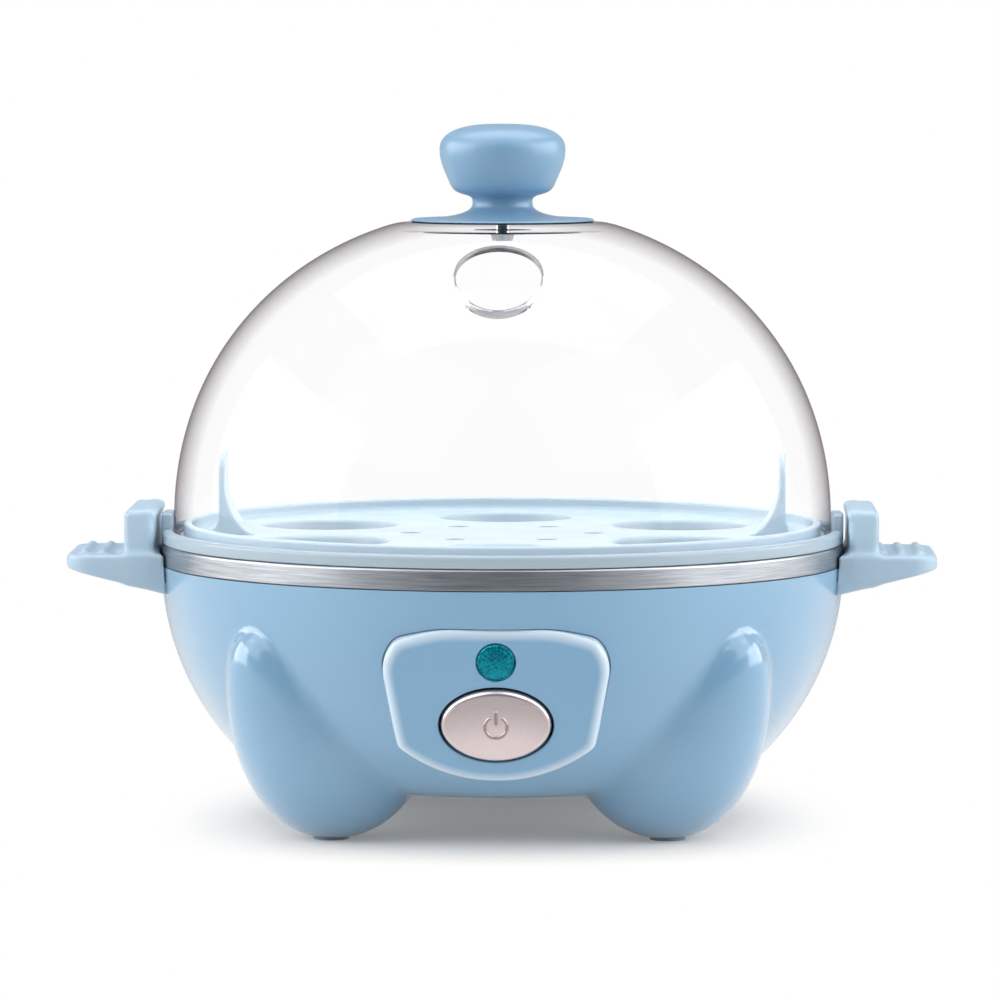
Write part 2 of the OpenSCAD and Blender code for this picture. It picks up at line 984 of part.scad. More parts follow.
module cord_gland() {
    color("dimgray")
        translate([0, gland_face_y + gland_flange_t, gland_z])
            rotate([90, 0, 0])
                difference() {
                    union() {
                        cylinder(r1 = gland_flange_r - 0.8, r2 = gland_flange_r, h = gland_flange_t);
                        cylinder(r = gland_body_r, h = gland_len + gland_flange_t);
                    }
                    translate([0, 0, -1])
                        cylinder(r = gland_bore_r, h = gland_len + gland_flange_t + 2);
                }
}

// ---------- egg tray ----------

module egg_tray() {
    color("lightblue")
        difference() {
            union() {
                tray_ring();
                for (i = [0:egg_count - 1])
                    translate(ring_point(seat_ring_r, seat_angle(i)) + [0, 0, tray_z - seat_drop + tray_floor_t])
                        cylinder(
                            r1 = seat_d / 2 + seat_wall - seat_draft,
                            r2 = seat_d / 2 + seat_wall,
                            h = seat_drop
                        );
                for (side = [0, 180])
                    rotate(side) {
                        lifting_tab();
                        tray_lug();
                    }
            }
            for (i = [0:egg_count - 1])
                translate(ring_point(seat_ring_r, seat_angle(i)) + [0, 0, tray_z - seat_drop + tray_floor_t])
                    seat_hole();
            for (i = [0:steam_holes - 1])
                translate(ring_point(steam_ring_r, i * 360 / steam_holes) + [0, 0, tray_z - 1])
                    cylinder(r = steam_hole_r, h = 4, $fn = 24);
        }
}

function seat_angle(i) = -90 + i * 360 / egg_count;

module seat_hole() {
    slope = seat_draft / seat_drop;
    translate([0, 0, -1])
        cylinder(r1 = seat_d / 2 - seat_draft - slope, r2 = seat_d / 2 + slope, h = seat_drop + 2);
}

// Ring with the dome's groove, the floor and the skirt that drops into the pan
module tray_ring() {
    groove_out = dome_r + groove_gap;
    groove_in = dome_r - dome_t - groove_gap;
    lip_in = groove_in - tray_lip_t;
    skirt_r = pan_r - pan_t - move_gap;
    rotate_extrude($fn = 128)
        polygon([
            [0, tray_z],
            [skirt_r - tray_skirt_t, tray_z],
            [skirt_r - tray_skirt_t, tray_z - tray_skirt_h],
            [skirt_r - 0.4, tray_z - tray_skirt_h],
            [skirt_r, tray_z],
            [rim_r, tray_z],
            [rim_r, tray_z + tray_rim_h - 0.6],
            [rim_r - 0.6, tray_z + tray_rim_h],
            [groove_out, tray_z + tray_rim_h],
            [groove_out, tray_z + groove_floor],
            [groove_in, tray_z + groove_floor],
            [groove_in, tray_z + tray_lip_h],
            [lip_in, tray_z + tray_lip_h],
            [lip_in, tray_z + tray_floor_t],
            [0, tray_z + tray_floor_t]
        ]);
}

// Upright tab, flared into the floor like a trumpet and rounded at its top corners
module lifting_tab() {
    base = tray_z + tray_floor_t;
    top = base + tab_h;
    intersection() {
        rotate([90, 0, 0])
            translate([0, 0, -tab_w / 2])
                linear_extrude(tab_w)
                    polygon(concat(
                        [[tab_r + tab_flare, base - 0.5]],
                        [for (a = [0:22.5:90]) [tab_r + tab_flare * (1 - sin(a)), base + 5 * (1 - cos(a))]],
                        [[tab_r, top], [tab_r - tab_t, top]],
                        [for (a = [90:-15:0])
                            [tab_r - tab_t - tab_root * (1 - sin(a)), base + 0.7 * tab_h * (1 - cos(a))]],
                        [[tab_r - tab_t - tab_root, base - 0.5]]
                    ));
        rotate([90, 0, 90])
            linear_extrude(rim_r) {
                translate([-tab_w / 2, base - 1])
                    square([tab_w, tab_h + 1 - tab_corner]);
                translate([-tab_w / 2 + tab_corner, base])
                    square([tab_w - 2 * tab_corner, tab_h]);
                for (side = [-1, 1])
                    translate([side * (tab_w / 2 - tab_corner), top - tab_corner])
                        circle(r = tab_corner);
            }
    }
}

// Slotted lug on the ring beside each grip
module tray_lug() {
    intersection() {
        difference() {
            cylinder(r = rim_r, h = tray_z + tray_rim_h + lug_h, $fn = 128);
            translate([0, 0, -1])
                cylinder(r = dome_r + groove_gap, h = big, $fn = 128);
        }
        difference() {
            translate([0, -lug_w / 2, tray_z + tray_rim_h - 1])
                cube([big, lug_w, lug_h + 1]);
            for (side = [-1, 1])
                translate([0, side * lug_w / 5 - lug_slot / 2, tray_z + tray_rim_h + 1])
                    cube([big, lug_slot, lug_h]);
        }
    }
}

// ---------- lid ----------

function dome_point(a, inset) = [
    (dome_r - inset) * pow(cos(a), dome_power),
    dome_spring_z + (dome_h - inset) * pow(sin(a), dome_power)
];

module lid_dome() {
    color("white", 0.4)
        difference() {
            rotate_extrude($fn = 128)
                polygon(concat(
                    [[dome_r - dome_t, dome_foot_z], [dome_r, dome_foot_z]],
                    [for (i = [0:dome_steps]) dome_point(crown_a * i / dome_steps, 0)],
                    [[0, crown_z], [0, crown_z - dome_t]],
                    [for (i = [dome_steps:-1:0]) dome_point(crown_in_a * i / dome_steps, dome_t)]
                ));
            translate([0, -vent_r, dome_foot_z])
                cylinder(d = vent_d, h = dome_h + 10);
            cylinder(r = hole_r, h = big);
        }
}

module lid_knob() {
    head_z = crown_z + knob_neck_z + knob_waist;
    widest_z = crown_z + knob_h - knob_top_h;
    r = knob_d / 2;
    base_r = r - knob_under;
    side_z = head_z + knob_corner;
    flare = knob_flange_r - 1 - knob_neck_r;
    color("steelblue")
        difference() {
            rotate_extrude($fn = 96)
                polygon(concat(
                    [[0, crown_z], [knob_flange_r, crown_z], [knob_flange_r, crown_z + knob_flange_t]],
                    [for (i = [0:knob_steps])
                        let (a = 90 * i / knob_steps)
                            [
                                knob_flange_r - 1 - flare * sin(a),
                                crown_z + 1 + (knob_neck_z - 1) * (1 - cos(a))
                            ]],
                    [[knob_neck_r, head_z]],
                    [for (a = [0:30:60])
                        [base_r - knob_corner * (1 - sin(a)), head_z + knob_corner * (1 - cos(a))]],
                    [for (i = [0:knob_steps])
                        let (t = i / knob_steps)
                            [base_r + knob_under * sin(90 * t), side_z + (widest_z - side_z) * t]],
                    [for (i = [1:knob_steps])
                        let (a = 90 * i / knob_steps)
                            [r * pow(cos(a), knob_power), widest_z + knob_top_h * pow(sin(a), knob_power)]]
                ));
            translate([0, 0, crown_z - 1])
                cylinder(r = screw_r, h = knob_bore_h + 1);
        }
}

module knob_washer() {
    color("dimgray")
        translate([0, 0, crown_z - dome_t - washer_t])
            difference() {
                cylinder(r = washer_r, h = washer_t);
                translate([0, 0, -1])
                    cylinder(r = hole_r, h = washer_t + 2);
            }
}

module knob_screw() {
    color("silver")
        translate([0, 0, crown_z - dome_t - washer_t])
            screw(washer_t + dome_t + knob_bore_h - 1);
}

base_housing();
bottom_cover();
cover_screws();
foot_pads();
side_handle_left();
side_handle_right();
handle_screws();
heating_pan();
pan_gasket();
pan_standoffs();
pan_screws();
heat_spreader();
heating_element();
thermostat();
thermostat_bracket();
bracket_screws();
thermal_fuse();
heat_shield();
control_panel();
panel_screws();
switch_bracket();
power_switch();
indicator_lens();
indicator_lamp();
power_button();
switch_plunger();
terminal_block();
cord_gland();
egg_tray();
lid_dome();
lid_knob();
knob_screw();
knob_washer();
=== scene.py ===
import math

import bmesh
import bpy
import numpy as np
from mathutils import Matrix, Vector


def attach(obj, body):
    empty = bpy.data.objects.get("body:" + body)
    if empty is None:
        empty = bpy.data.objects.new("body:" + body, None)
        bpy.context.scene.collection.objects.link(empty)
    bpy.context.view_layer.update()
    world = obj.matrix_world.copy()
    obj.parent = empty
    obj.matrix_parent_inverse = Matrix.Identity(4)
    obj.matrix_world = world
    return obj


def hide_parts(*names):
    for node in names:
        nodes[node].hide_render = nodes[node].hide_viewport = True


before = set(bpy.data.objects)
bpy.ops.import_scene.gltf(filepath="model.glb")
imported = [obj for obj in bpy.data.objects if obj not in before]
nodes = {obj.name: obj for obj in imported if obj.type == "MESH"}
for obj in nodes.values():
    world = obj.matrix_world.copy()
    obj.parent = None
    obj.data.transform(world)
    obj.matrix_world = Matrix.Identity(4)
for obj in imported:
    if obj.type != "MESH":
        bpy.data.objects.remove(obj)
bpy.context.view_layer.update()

MM = 0.001

# Main sizes in millimetres, which repeat the part's source where it has them

# Bowl, legs and cord inlet
RIM_R = 82.0
RIM_Z = 62.0
SIDE_ARC_R = 64.0
ARC_C = RIM_R - SIDE_ARC_R
BELLY_Z = 11.0
SHELL_T = 2.2
LEG_ANGLES = [math.radians(a) for a in (45, 135, 225, 315)]
LEG_LEN = 60.0
LEG_R = 20.35
LEG_TAPER = 0.37
LEG_TILT = math.radians(46)
LEG_C = 61.5
LEG_C_Z = 28.06
LEG_BLEND = 2.2
FOOT_Z = 0.4
COVER_OPEN_R = 27.02
COVER_SEAT_R = 34.27
COVER_TOP_Z = 12.4
TOWER_ANGLES = (-14, 90, 194)
TOWER_RING_R = 50.0
TOWER_HOLE_R = 3.4
GLAND_Z = 27.0
GLAND_FACE_Y = 76.7
GLAND_BOSS_R = 8.0
GLAND_HOLE_R = 5.02

# Grips
GRIP_TIP_X = 104.0
GRIP_HALF_W = 18.5
GRIP_TOP_Z = 65.0
RIBS = 3
RIB_X = 99.9
RIB_PITCH = 4.45
RIB_R = 1.15

# Control panel, lens and button
PANEL_Z = 35.5
PANEL_TILT = math.radians(12)
PANEL_FACE_R = 77.95
PANEL_CROWN_R = 73
PANEL_CHIN_R = 35.6
PANEL_EDGE_R = 2.7
LENS_Y = 10.4
LENS_R = 4.45
BUTTON_Y = -4.65
BUTTON_A = 12.75
BUTTON_B = 8.5
BUTTON_R = 70.0
BUTTON_TOP = 1.6

# Water pan
PAN_Z = 50.0
PAN_T = 0.8
BAND_Z = 62.15
BAND_TOP = 67.2

# Egg tray
TRAY_Z = 67.25
TRAY_FLOOR_T = 1.8
TRAY_RIM_H = 3.0
TRAY_LIP_H = 4.7
GROOVE_FLOOR = 1.6
RING_IN_R = 79.4
SEATS = 6
SEAT_RING_R = 49.5
SEAT_BELOW = 7.2
STEAM_HOLES = 6
STEAM_RING_R = 22.0
STEAM_HOLE_R = 2.5
TAB_H = 19.5
TAB_W = 16.0
LUG_H = 3.8
LUG_W = 14.0

# Dome and knob
DOME_R = 79.0
DOME_FOOT_Z = 68.9
DOME_SPRING_Z = 72.1
DOME_H = 75.0
DOME_T = 2.0
DOME_POWER = 2 / 2.1
CROWN_Z = 143.97
VENT_Y = -47.2
VENT_R = 10.0
KNOB_R = 15.1
KNOB_TOP_H = 6.2
KNOB_WIDEST_Z = CROWN_Z + 17.2
NECK_R = 7.2

HALF_TURN = [[-1, 0, 0], [0, -1, 0], [0, 0, 1]]


# ---------- mesh tools ----------

def smin(a, b, k):
    """Smooth union of two distances, rounded over about k."""
    h = np.clip(0.5 + 0.5 * (b - a) / k, 0, 1)
    return b + (a - b) * h - k * h * (1 - h)


def smax(a, b, k):
    """Smooth overlap of two distances."""
    return -smin(-a, -b, k)


def new_object(name, verts, faces):
    """An object from vertices in millimetres."""
    mesh = bpy.data.meshes.new(name)
    mesh.from_pydata((np.asarray(verts, float) * MM).tolist(), [], faces)
    mesh.validate()
    mesh.update()
    ob = bpy.data.objects.new(name, mesh)
    bpy.context.scene.collection.objects.link(ob)
    return ob


def read_points(ob):
    """An object's vertices in metres, one row each."""
    co = np.empty(len(ob.data.vertices) * 3)
    ob.data.vertices.foreach_get("co", co)
    return co.reshape(-1, 3)


def write_points(ob, co):
    """Gives an object's vertices new places, in metres."""
    ob.data.vertices.foreach_set("co", co.ravel())
    ob.data.update()


def gradient(f, p, eps=0.02):
    """The slope of f at each point, from central differences."""
    g = np.empty_like(p)
    for i in range(3):
        d = np.zeros(3)
        d[i] = eps
        g[:, i] = (f(p + d) - f(p - d)) / (2 * eps)
    return g


def surface_nets(f, lo, hi, h):
    """Vertices and quads on the zero surface of f, which is negative inside."""
    axes = [np.arange(lo[i] - 1.5 * h, hi[i] + 2.5 * h, h) for i in range(3)]
    grid = np.stack(np.meshgrid(*axes, indexing="ij"), -1)
    v = f(grid.reshape(-1, 3)).reshape(grid.shape[:3])
    inside = v < 0
    n = np.array(v.shape)
    total = np.zeros((*(n - 1), 3))
    count = np.zeros(n - 1)
    crossings = []
    for axis in range(3):
        a = [slice(None)] * 3
        b = [slice(None)] * 3
        a[axis], b[axis] = slice(0, -1), slice(1, None)
        va, vb = v[tuple(a)], v[tuple(b)]
        cross = inside[tuple(a)] != inside[tuple(b)]
        t = np.where(cross, va / np.where(cross, va - vb, 1), 0)
        point = grid[tuple(a)].copy()
        point[..., axis] += t * h
        crossings.append((cross, inside[tuple(a)]))
        u, w = [i for i in range(3) if i != axis]
        for du in (0, 1):
            for dw in (0, 1):
                s = [slice(None)] * 3
                s[u] = slice(du, du + n[u] - 1)
                s[w] = slice(dw, dw + n[w] - 1)
                c = cross[tuple(s)]
                total += np.where(c[..., None], point[tuple(s)], 0)
                count += c
    active = count > 0
    index = -np.ones(count.shape, int)
    index[active] = np.arange(active.sum())
    verts = total[active] / count[active][:, None]
    quads = []
    for axis in range(3):
        cross, start_in = crossings[axis]
        u, w = (axis + 1) % 3, (axis + 2) % 3
        at = np.argwhere(cross)
        at = at[(at[:, u] > 0) & (at[:, w] > 0) & (at[:, u] < n[u] - 1) & (at[:, w] < n[w] - 1)]
        eu, ew = np.eye(3, dtype=int)[u], np.eye(3, dtype=int)[w]
        ring = [index[tuple((at - d).T)] for d in (eu + ew, ew, 0 * eu, eu)]
        q = np.stack(ring, 1)
        flip = ~start_in[tuple(at.T)]
        q[flip] = q[flip][:, ::-1]
        quads.append(q)
    return verts, np.vstack(quads)


def project(f, p, rounds=4, reach=1.0):
    """Moves points onto the zero surface of f."""
    for _ in range(rounds):
        g = gradient(f, p)
        step = (f(p) / np.maximum((g * g).sum(1), 0.05))[:, None] * g
        size = np.linalg.norm(step, axis=1, keepdims=True)
        p = p - step * np.minimum(1, reach / np.maximum(size, 1e-9))
    return p


def moulded(name, f, lo, hi, h, relax=3):
    """A piece whose skin is the zero surface of f, with even quads."""
    verts, quads = surface_nets(f, lo, hi, h)
    verts = project(f, verts, 3, h)
    for _ in range(relax):
        acc = np.zeros_like(verts)
        num = np.zeros(len(verts))
        for i in range(4):
            j = quads[:, (i + 1) % 4]
            for a, b in ((quads[:, i], j), (j, quads[:, i])):
                np.add.at(acc, a, verts[b])
                np.add.at(num, a, 1)
        verts = project(f, verts + 0.6 * (acc / num[:, None] - verts), 2, h)
    return new_object(name, verts, quads.tolist())


def skin_normals(ob, fields, tol=0.03, angle=30):
    """Normals from the fields on the faces that lie on them, and plain ones elsewhere."""
    mesh = ob.data
    mesh.set_sharp_from_angle(angle=math.radians(angle))
    co = read_points(ob) / MM
    loops = np.empty(len(mesh.loops), int)
    mesh.loops.foreach_get("vertex_index", loops)
    starts = np.empty(len(mesh.polygons), int)
    mesh.polygons.foreach_get("loop_start", starts)
    face_n = np.empty(len(mesh.polygons) * 3)
    mesh.polygons.foreach_get("normal", face_n)
    face_n = face_n.reshape(-1, 3)
    face_of = np.searchsorted(starts, np.arange(len(loops)), side="right") - 1
    out = np.empty(len(loops) * 3)
    mesh.corner_normals.foreach_get("vector", out)
    out = out.reshape(-1, 3)
    for f in fields:
        on = np.abs(f(co)) < tol
        face_on = np.logical_and.reduceat(on[loops], starts)
        g = gradient(f, co)
        g /= np.maximum(np.linalg.norm(g, axis=1, keepdims=True), 1e-9)
        pick = g[loops]
        dot = (pick * face_n[face_of]).sum(1)
        use = face_on[face_of] & (np.abs(dot) > 0.8)
        out[use] = (pick * np.sign(dot)[:, None])[use]
    mesh.shade_smooth()
    mesh.normals_split_custom_set(out.tolist())


def fillet(points, steps=5):
    """A path whose corners (x, z, radius) are rounded."""
    out = []
    n = len(points)
    for i, (x, z, r) in enumerate(points):
        p = np.array([x, z], float)
        if r <= 0:
            out.append((x, z))
            continue
        a = np.array(points[i - 1][:2], float) - p
        b = np.array(points[(i + 1) % n][:2], float) - p
        la, lb = np.linalg.norm(a), np.linalg.norm(b)
        a, b = a / la, b / lb
        half = math.acos(max(-1, min(1, float(a @ b)))) / 2
        reach = min(r / math.tan(half), la * 0.5, lb * 0.5)
        r = reach * math.tan(half)
        middle = p + (a + b) / np.linalg.norm(a + b) * r / math.sin(half)
        start, end = p + a * reach - middle, p + b * reach - middle
        a0 = math.atan2(start[1], start[0])
        turn = (math.atan2(end[1], end[0]) - a0 + math.pi) % (2 * math.pi) - math.pi
        for j in range(steps + 1):
            t = a0 + turn * j / steps
            out.append(tuple(middle + r * np.array([math.cos(t), math.sin(t)])))
    return out


def lathe(name, profile, segments):
    """A body of revolution from (radius, height) points; a point on the axis is a pole."""
    verts, rings = [], []
    for r, z in profile:
        if r < 1e-6:
            rings.append([len(verts)])
            verts.append((0, 0, z))
            continue
        rings.append(list(range(len(verts), len(verts) + segments)))
        for i in range(segments):
            t = 2 * math.pi * i / segments
            verts.append((r * math.cos(t), r * math.sin(t), z))
    faces = []
    for a, b in zip(rings, rings[1:]):
        if len(a) == 1 and len(b) == 1:
            continue
        for i in range(segments):
            j = (i + 1) % segments
            quad = [a[i % len(a)], a[j % len(a)], b[j % len(b)], b[i % len(b)]]
            faces.append([v for k, v in enumerate(quad) if v not in quad[:k]])
    ob = new_object(name, verts, faces)
    fix_normals(ob)
    return ob


def fix_normals(ob):
    """Merges doubled points and turns all faces outwards."""
    bm = bmesh.new()
    bm.from_mesh(ob.data)
    bmesh.ops.remove_doubles(bm, verts=bm.verts, dist=1e-7)
    bmesh.ops.recalc_face_normals(bm, faces=bm.faces)
    bm.to_mesh(ob.data)
    bm.free()


def loft(name, loops):
    """A body through closed loops of the same number of points, capped at both ends."""
    n = len(loops[0])
    verts = [p for loop in loops for p in loop]
    faces = []
    for k in range(len(loops) - 1):
        for i in range(n):
            j = (i + 1) % n
            faces.append([k * n + i, k * n + j, (k + 1) * n + j, (k + 1) * n + i])
    faces.append(list(range(n))[::-1])
    faces.append([(len(loops) - 1) * n + i for i in range(n)])
    ob = new_object(name, verts, faces)
    fix_normals(ob)
    return ob


def bake(ob):
    """Applies the object's modifiers."""
    dg = bpy.context.evaluated_depsgraph_get()
    mesh = bpy.data.meshes.new_from_object(ob.evaluated_get(dg))
    ob.modifiers.clear()
    old = ob.data
    ob.data = mesh
    bpy.data.meshes.remove(old)
    mesh.name = ob.name
    return ob


def boolean(ob, tool, operation="DIFFERENCE", solver="EXACT"):
    """Cuts a tool out of an object, or joins it on, and removes the tool."""
    mod = ob.modifiers.new("cut", "BOOLEAN")
    mod.object = tool
    mod.operation = operation
    mod.solver = solver
    bake(ob)
    bpy.data.objects.remove(tool)


def crisp(ob, angle=30):
    """Smooth shading with large faces kept flat and hard edges kept hard."""
    ob.data.shade_smooth()
    ob.data.set_sharp_from_angle(angle=math.radians(angle))
    mod = ob.modifiers.new("normals", "WEIGHTED_NORMAL")
    mod.keep_sharp = True
    return bake(ob)


def cylinder(r, z0, z1, at=(0, 0), segments=64):
    """An upright cylinder, as a tool."""
    ob = lathe("tool", [(0, z0), (r, z0), (r, z1), (0, z1)], segments)
    return move(ob, (at[0], at[1], 0))


def on_circle(r, degrees):
    """A point at a radius and an angle from +X."""
    a = math.radians(degrees)
    return r * math.cos(a), r * math.sin(a)


def move(ob, by=(0, 0, 0), turn=None):
    """Turns, then moves, a mesh's points, in millimetres."""
    co = read_points(ob)
    if turn is not None:
        co = co @ np.asarray(turn).T
    write_points(ob, co + np.asarray(by, float) * MM)
    return ob


# ---------- forms ----------

def bowl_f(p):
    """The bowl: an arc turned about the axis, with a flat bottom."""
    r = np.hypot(p[:, 0], p[:, 1])
    side = np.hypot(r - ARC_C, p[:, 2] - RIM_Z) - SIDE_ARC_R
    return smax(side, BELLY_Z - p[:, 2], 4.0)


def leg_f(p, turn):
    """An egg that leans outwards and is thicker at its foot."""
    c, s = math.cos(turn), math.sin(turn)
    x = p[:, 0] * c + p[:, 1] * s - LEG_C
    y = p[:, 1] * c - p[:, 0] * s
    z = p[:, 2] - LEG_C_Z
    half = LEG_LEN / 2
    along = x * math.sin(LEG_TILT) + z * math.cos(LEG_TILT)
    across = np.hypot(x * math.cos(LEG_TILT) - z * math.sin(LEG_TILT), y)
    w = LEG_R * (1 - LEG_TAPER * np.clip(along / half, -1.2, 1.2))
    k0 = np.hypot(across / w, along / half)
    k1 = np.hypot(across / w**2, along / half**2)
    return k0 * (k0 - 1) / np.maximum(k1, 1e-6)


def housing_f(p):
    """The bowl, its legs and the boss of the cord inlet in one skin."""
    f = bowl_f(p)
    for a in LEG_ANGLES:
        f = smin(f, leg_f(p, a), LEG_BLEND)
    boss = np.hypot(p[:, 0], p[:, 2] - GLAND_Z) - GLAND_BOSS_R
    boss = smax(boss, np.abs(p[:, 1] - GLAND_FACE_Y + 10) - 10, 0.8)
    f = smin(f, boss, 2.5)
    f = smax(f, p[:, 2] - RIM_Z - 4, 1.5)
    return smax(f, FOOT_Z - p[:, 2], 0.8)


def box_f(p, lo, hi, r):
    """A box with edges rounded to r."""
    lo, hi = np.array(lo, float), np.array(hi, float)
    q = np.abs(p - (lo + hi) / 2) - (hi - lo) / 2 + r
    return np.linalg.norm(np.maximum(q, 0), axis=1) + np.minimum(q.max(1), 0) - r


def corner_f(qx, qy, r):
    """A square corner rounded to r, from the distances past the middle of its arc."""
    return np.hypot(np.maximum(qx, 0), np.maximum(qy, 0)) + np.minimum(np.maximum(qx, qy), 0) - r


def grip_f(p):
    """The grip on +X: a sloping plate with ribs, an upright stop, and the room that the bowl takes."""
    x, y, z = p.T
    slope = math.radians(14.2)
    under = (61.6 - z) * math.cos(slope) - (GRIP_TIP_X - x) * math.sin(slope)
    corner = 6.0
    plan = corner_f(x - GRIP_TIP_X + corner, np.abs(y) - GRIP_HALF_W + corner, corner)
    f = smax(smax(plan, under, 0.9), z - GRIP_TOP_Z, 1.2)
    stop = box_f(p, (83, -17.5, 58), (90, 17.5, 75.7), 1.7)
    lip = box_f(p, (82.6, -17.0, 73.4), (86, 17.0, 75.6), 0.9)
    f = smin(f, smin(stop, lip, 0.8), 2.2)
    for i in range(RIBS):
        cx = RIB_X - RIB_PITCH * i
        rib = np.sqrt((x - cx) ** 2 + np.maximum(np.abs(y) - 12.5, 0) ** 2 + (z - 64.8) ** 2) - RIB_R
        f = smin(f, rib, 0.7)
    ring = np.where(z > RIM_Z - 0.2, RIM_R + 0.5 - np.hypot(x, y), -1e3)
    bowl = -(np.hypot(np.hypot(x, y) - ARC_C, np.minimum(z, RIM_Z) - RIM_Z) - SIDE_ARC_R)
    return np.maximum(f, np.maximum(ring, bowl))


THETA = math.pi / 2 + PANEL_TILT
PANEL_TURN = [[1, 0, 0], [0, math.cos(THETA), -math.sin(THETA)], [0, math.sin(THETA), math.cos(THETA)]]
PANEL_AT = (0, -PANEL_FACE_R, PANEL_Z)


def on_panel(ob):
    """Places a piece drawn in the panel's frame, whose z is the outward normal."""
    return move(ob, PANEL_AT, PANEL_TURN)


def panel_distance(x, y):
    """Distance to the panel's outline: a rounded trapezium with a bowed top and foot."""
    t = np.radians(np.arange(0, 360, 2.0))
    nx, ny = np.cos(t), np.sin(t)
    corners = [(side * 16, 8, 10) for side in (-1, 1)] + [(side * 12, -8, 11) for side in (-1, 1)]
    support = np.max([cx * nx + cy * ny + r for cx, cy, r in corners], axis=0)
    hull = (x[:, None] * nx + y[:, None] * ny - support).max(1)
    crown = np.hypot(x, y + 54) - PANEL_CROWN_R
    chin = np.hypot(x, y - 16.9) - PANEL_CHIN_R
    return smax(smax(hull, crown, 0.6), chin, 0.6)


def panel_loop(inset, z, n=160):
    """Points of the panel's outline, shrunk by inset, at a height over its face."""
    t = 2 * math.pi * np.arange(n) / n
    lo, hi = np.zeros(n), np.full(n, 40.0)
    for _ in range(30):
        mid = (lo + hi) / 2
        out = panel_distance(mid * np.cos(t), mid * np.sin(t)) > -inset
        hi, lo = np.where(out, mid, hi), np.where(out, lo, mid)
    return [(lo[i] * math.cos(t[i]), lo[i] * math.sin(t[i]), z) for i in range(n)]


def ellipse_loop(a, b, z, n=96):
    """Points around the power button, at a height over the panel's face."""
    turns = [2 * math.pi * i / n for i in range(n)]
    return [(a * math.cos(t), BUTTON_Y + b * math.sin(t), z) for t in turns]


def bowl_tool(inset):
    """The inside of the bowl, shrunk by inset, reaching above the rim."""
    top = RIM_Z + 5.0
    pts = [(0, BELLY_Z + inset)]
    r = SIDE_ARC_R - inset
    a0 = math.asin((RIM_Z - BELLY_Z - inset) / r)
    for i in range(33):
        a = a0 * (1 - i / 32)
        pts.append((ARC_C + r * math.cos(a), RIM_Z - r * math.sin(a)))
    pts += [(ARC_C + r, top), (0, top)]
    return lathe("tool", pts, 256)


def build_housing():
    """The hollow shell, with its panel window, cover opening, tower holes and cord bore."""
    h = 1.7
    ob = moulded("housing_shell", housing_f, (-83, -83, 0), (83, 83, 66.5), h)
    boolean(ob, cylinder(90, RIM_Z, 75))
    boolean(ob, bowl_tool(SHELL_T))
    pocket = on_panel(loft("tool", [panel_loop(-0.28, -26), panel_loop(-0.28, 8)]))
    boolean(pocket, bowl_tool(0.9))
    boolean(ob, pocket)
    boolean(ob, on_panel(loft("tool", [panel_loop(5, -24), panel_loop(5, 6)])))
    # the opening and the recess of the bottom cover, and the holes of the screw towers
    boolean(ob, cylinder(COVER_OPEN_R, 5, 16))
    boolean(ob, cylinder(COVER_SEAT_R, 5, COVER_TOP_Z, segments=96))
    for a in TOWER_ANGLES:
        boolean(ob, cylinder(TOWER_HOLE_R, 5, 27.5, on_circle(TOWER_RING_R, a), 32))
    bore = cylinder(GLAND_HOLE_R, 0, 20, segments=48)
    move(bore, (0, 80, GLAND_Z), [[1, 0, 0], [0, 0, -1], [0, 1, 0]])
    boolean(ob, bore)
    skin_normals(ob, [housing_f], tol=0.05)
    return ob


def build_panel():
    """The bezel, with its holes, and the attribute that weights a painted highlight on its round edge."""
    steps = [(0, -16), (0, -1.2)]
    for i in range(1, 12):
        a = math.pi / 2 * i / 11
        steps.append((PANEL_EDGE_R * (1 - math.cos(a)), -1.2 + 1.2 * math.sin(a)))
    steps += [(3.4, 0)]
    loops = []
    for inset, z in steps:
        # the round edge is deeper at the sides and the foot, where the panel stands further out
        outline = panel_loop(inset, z)
        deeper = [1 + 0.8 * float(np.clip((17 - y) / 8, 0, 1)) if z > -2 else 1 for _, y, _ in outline]
        loops.append([(x, y, z * k) for (x, y, z), k in zip(outline, deeper)])
    ob = on_panel(loft("panel_bezel", loops))
    boolean(ob, bowl_tool(0.9))
    hole = [(0.5, -6), (0.5, -0.45), (0.6, -0.15), (0.9, 0.02), (1.6, 0.5)]
    boolean(ob, on_panel(loft("tool", [ellipse_loop(BUTTON_A + m, BUTTON_B + m, z) for m, z in hole])))
    hole = [(4.58, -6), (4.58, -0.35), (4.68, -0.1), (4.9, 0.02), (5.4, 0.4)]
    tool = lathe("tool", [(0, -6)] + hole + [(0, 0.4)], 64)
    move(tool, (0, LENS_Y, 0))
    boolean(ob, on_panel(tool))
    crisp(ob, 40)
    # the edge attribute weights a painted highlight: the round edge is painted paler where it catches the
    # light
    local = (read_points(ob) / MM - PANEL_AT) @ np.array(PANEL_TURN)
    painted_highlight_weight = np.clip(1 + panel_distance(local[:, 0], local[:, 1]) / 2.6, 0, 1)
    ob.data.attributes.new("edge", "FLOAT", "POINT").data.foreach_set("value", painted_highlight_weight)
    return ob


def bead(path, r, n=16):
    """A round bead along a path, with round ends."""
    path = np.array(path, float)
    along = np.gradient(path, axis=0)
    along /= np.linalg.norm(along, axis=1, keepdims=True)
    ends = np.radians([84, 66, 48, 32, 16])
    steps = [(path[0] - along[0] * r * math.sin(a), along[0], r * math.cos(a)) for a in ends]
    steps += [(p, t, r) for p, t in zip(path, along)]
    steps += [(path[-1] + along[-1] * r * math.sin(a), along[-1], r * math.cos(a)) for a in ends[::-1]]
    loops = []
    for p, t, size in steps:
        side = np.cross(t, (0, 0, 1))
        side /= np.linalg.norm(side)
        up = np.cross(side, t)
        turns = [2 * math.pi * i / n for i in range(n)]
        loops.append([tuple(p + size * (math.cos(b) * side + math.sin(b) * up)) for b in turns])
    return loft("tool", loops)


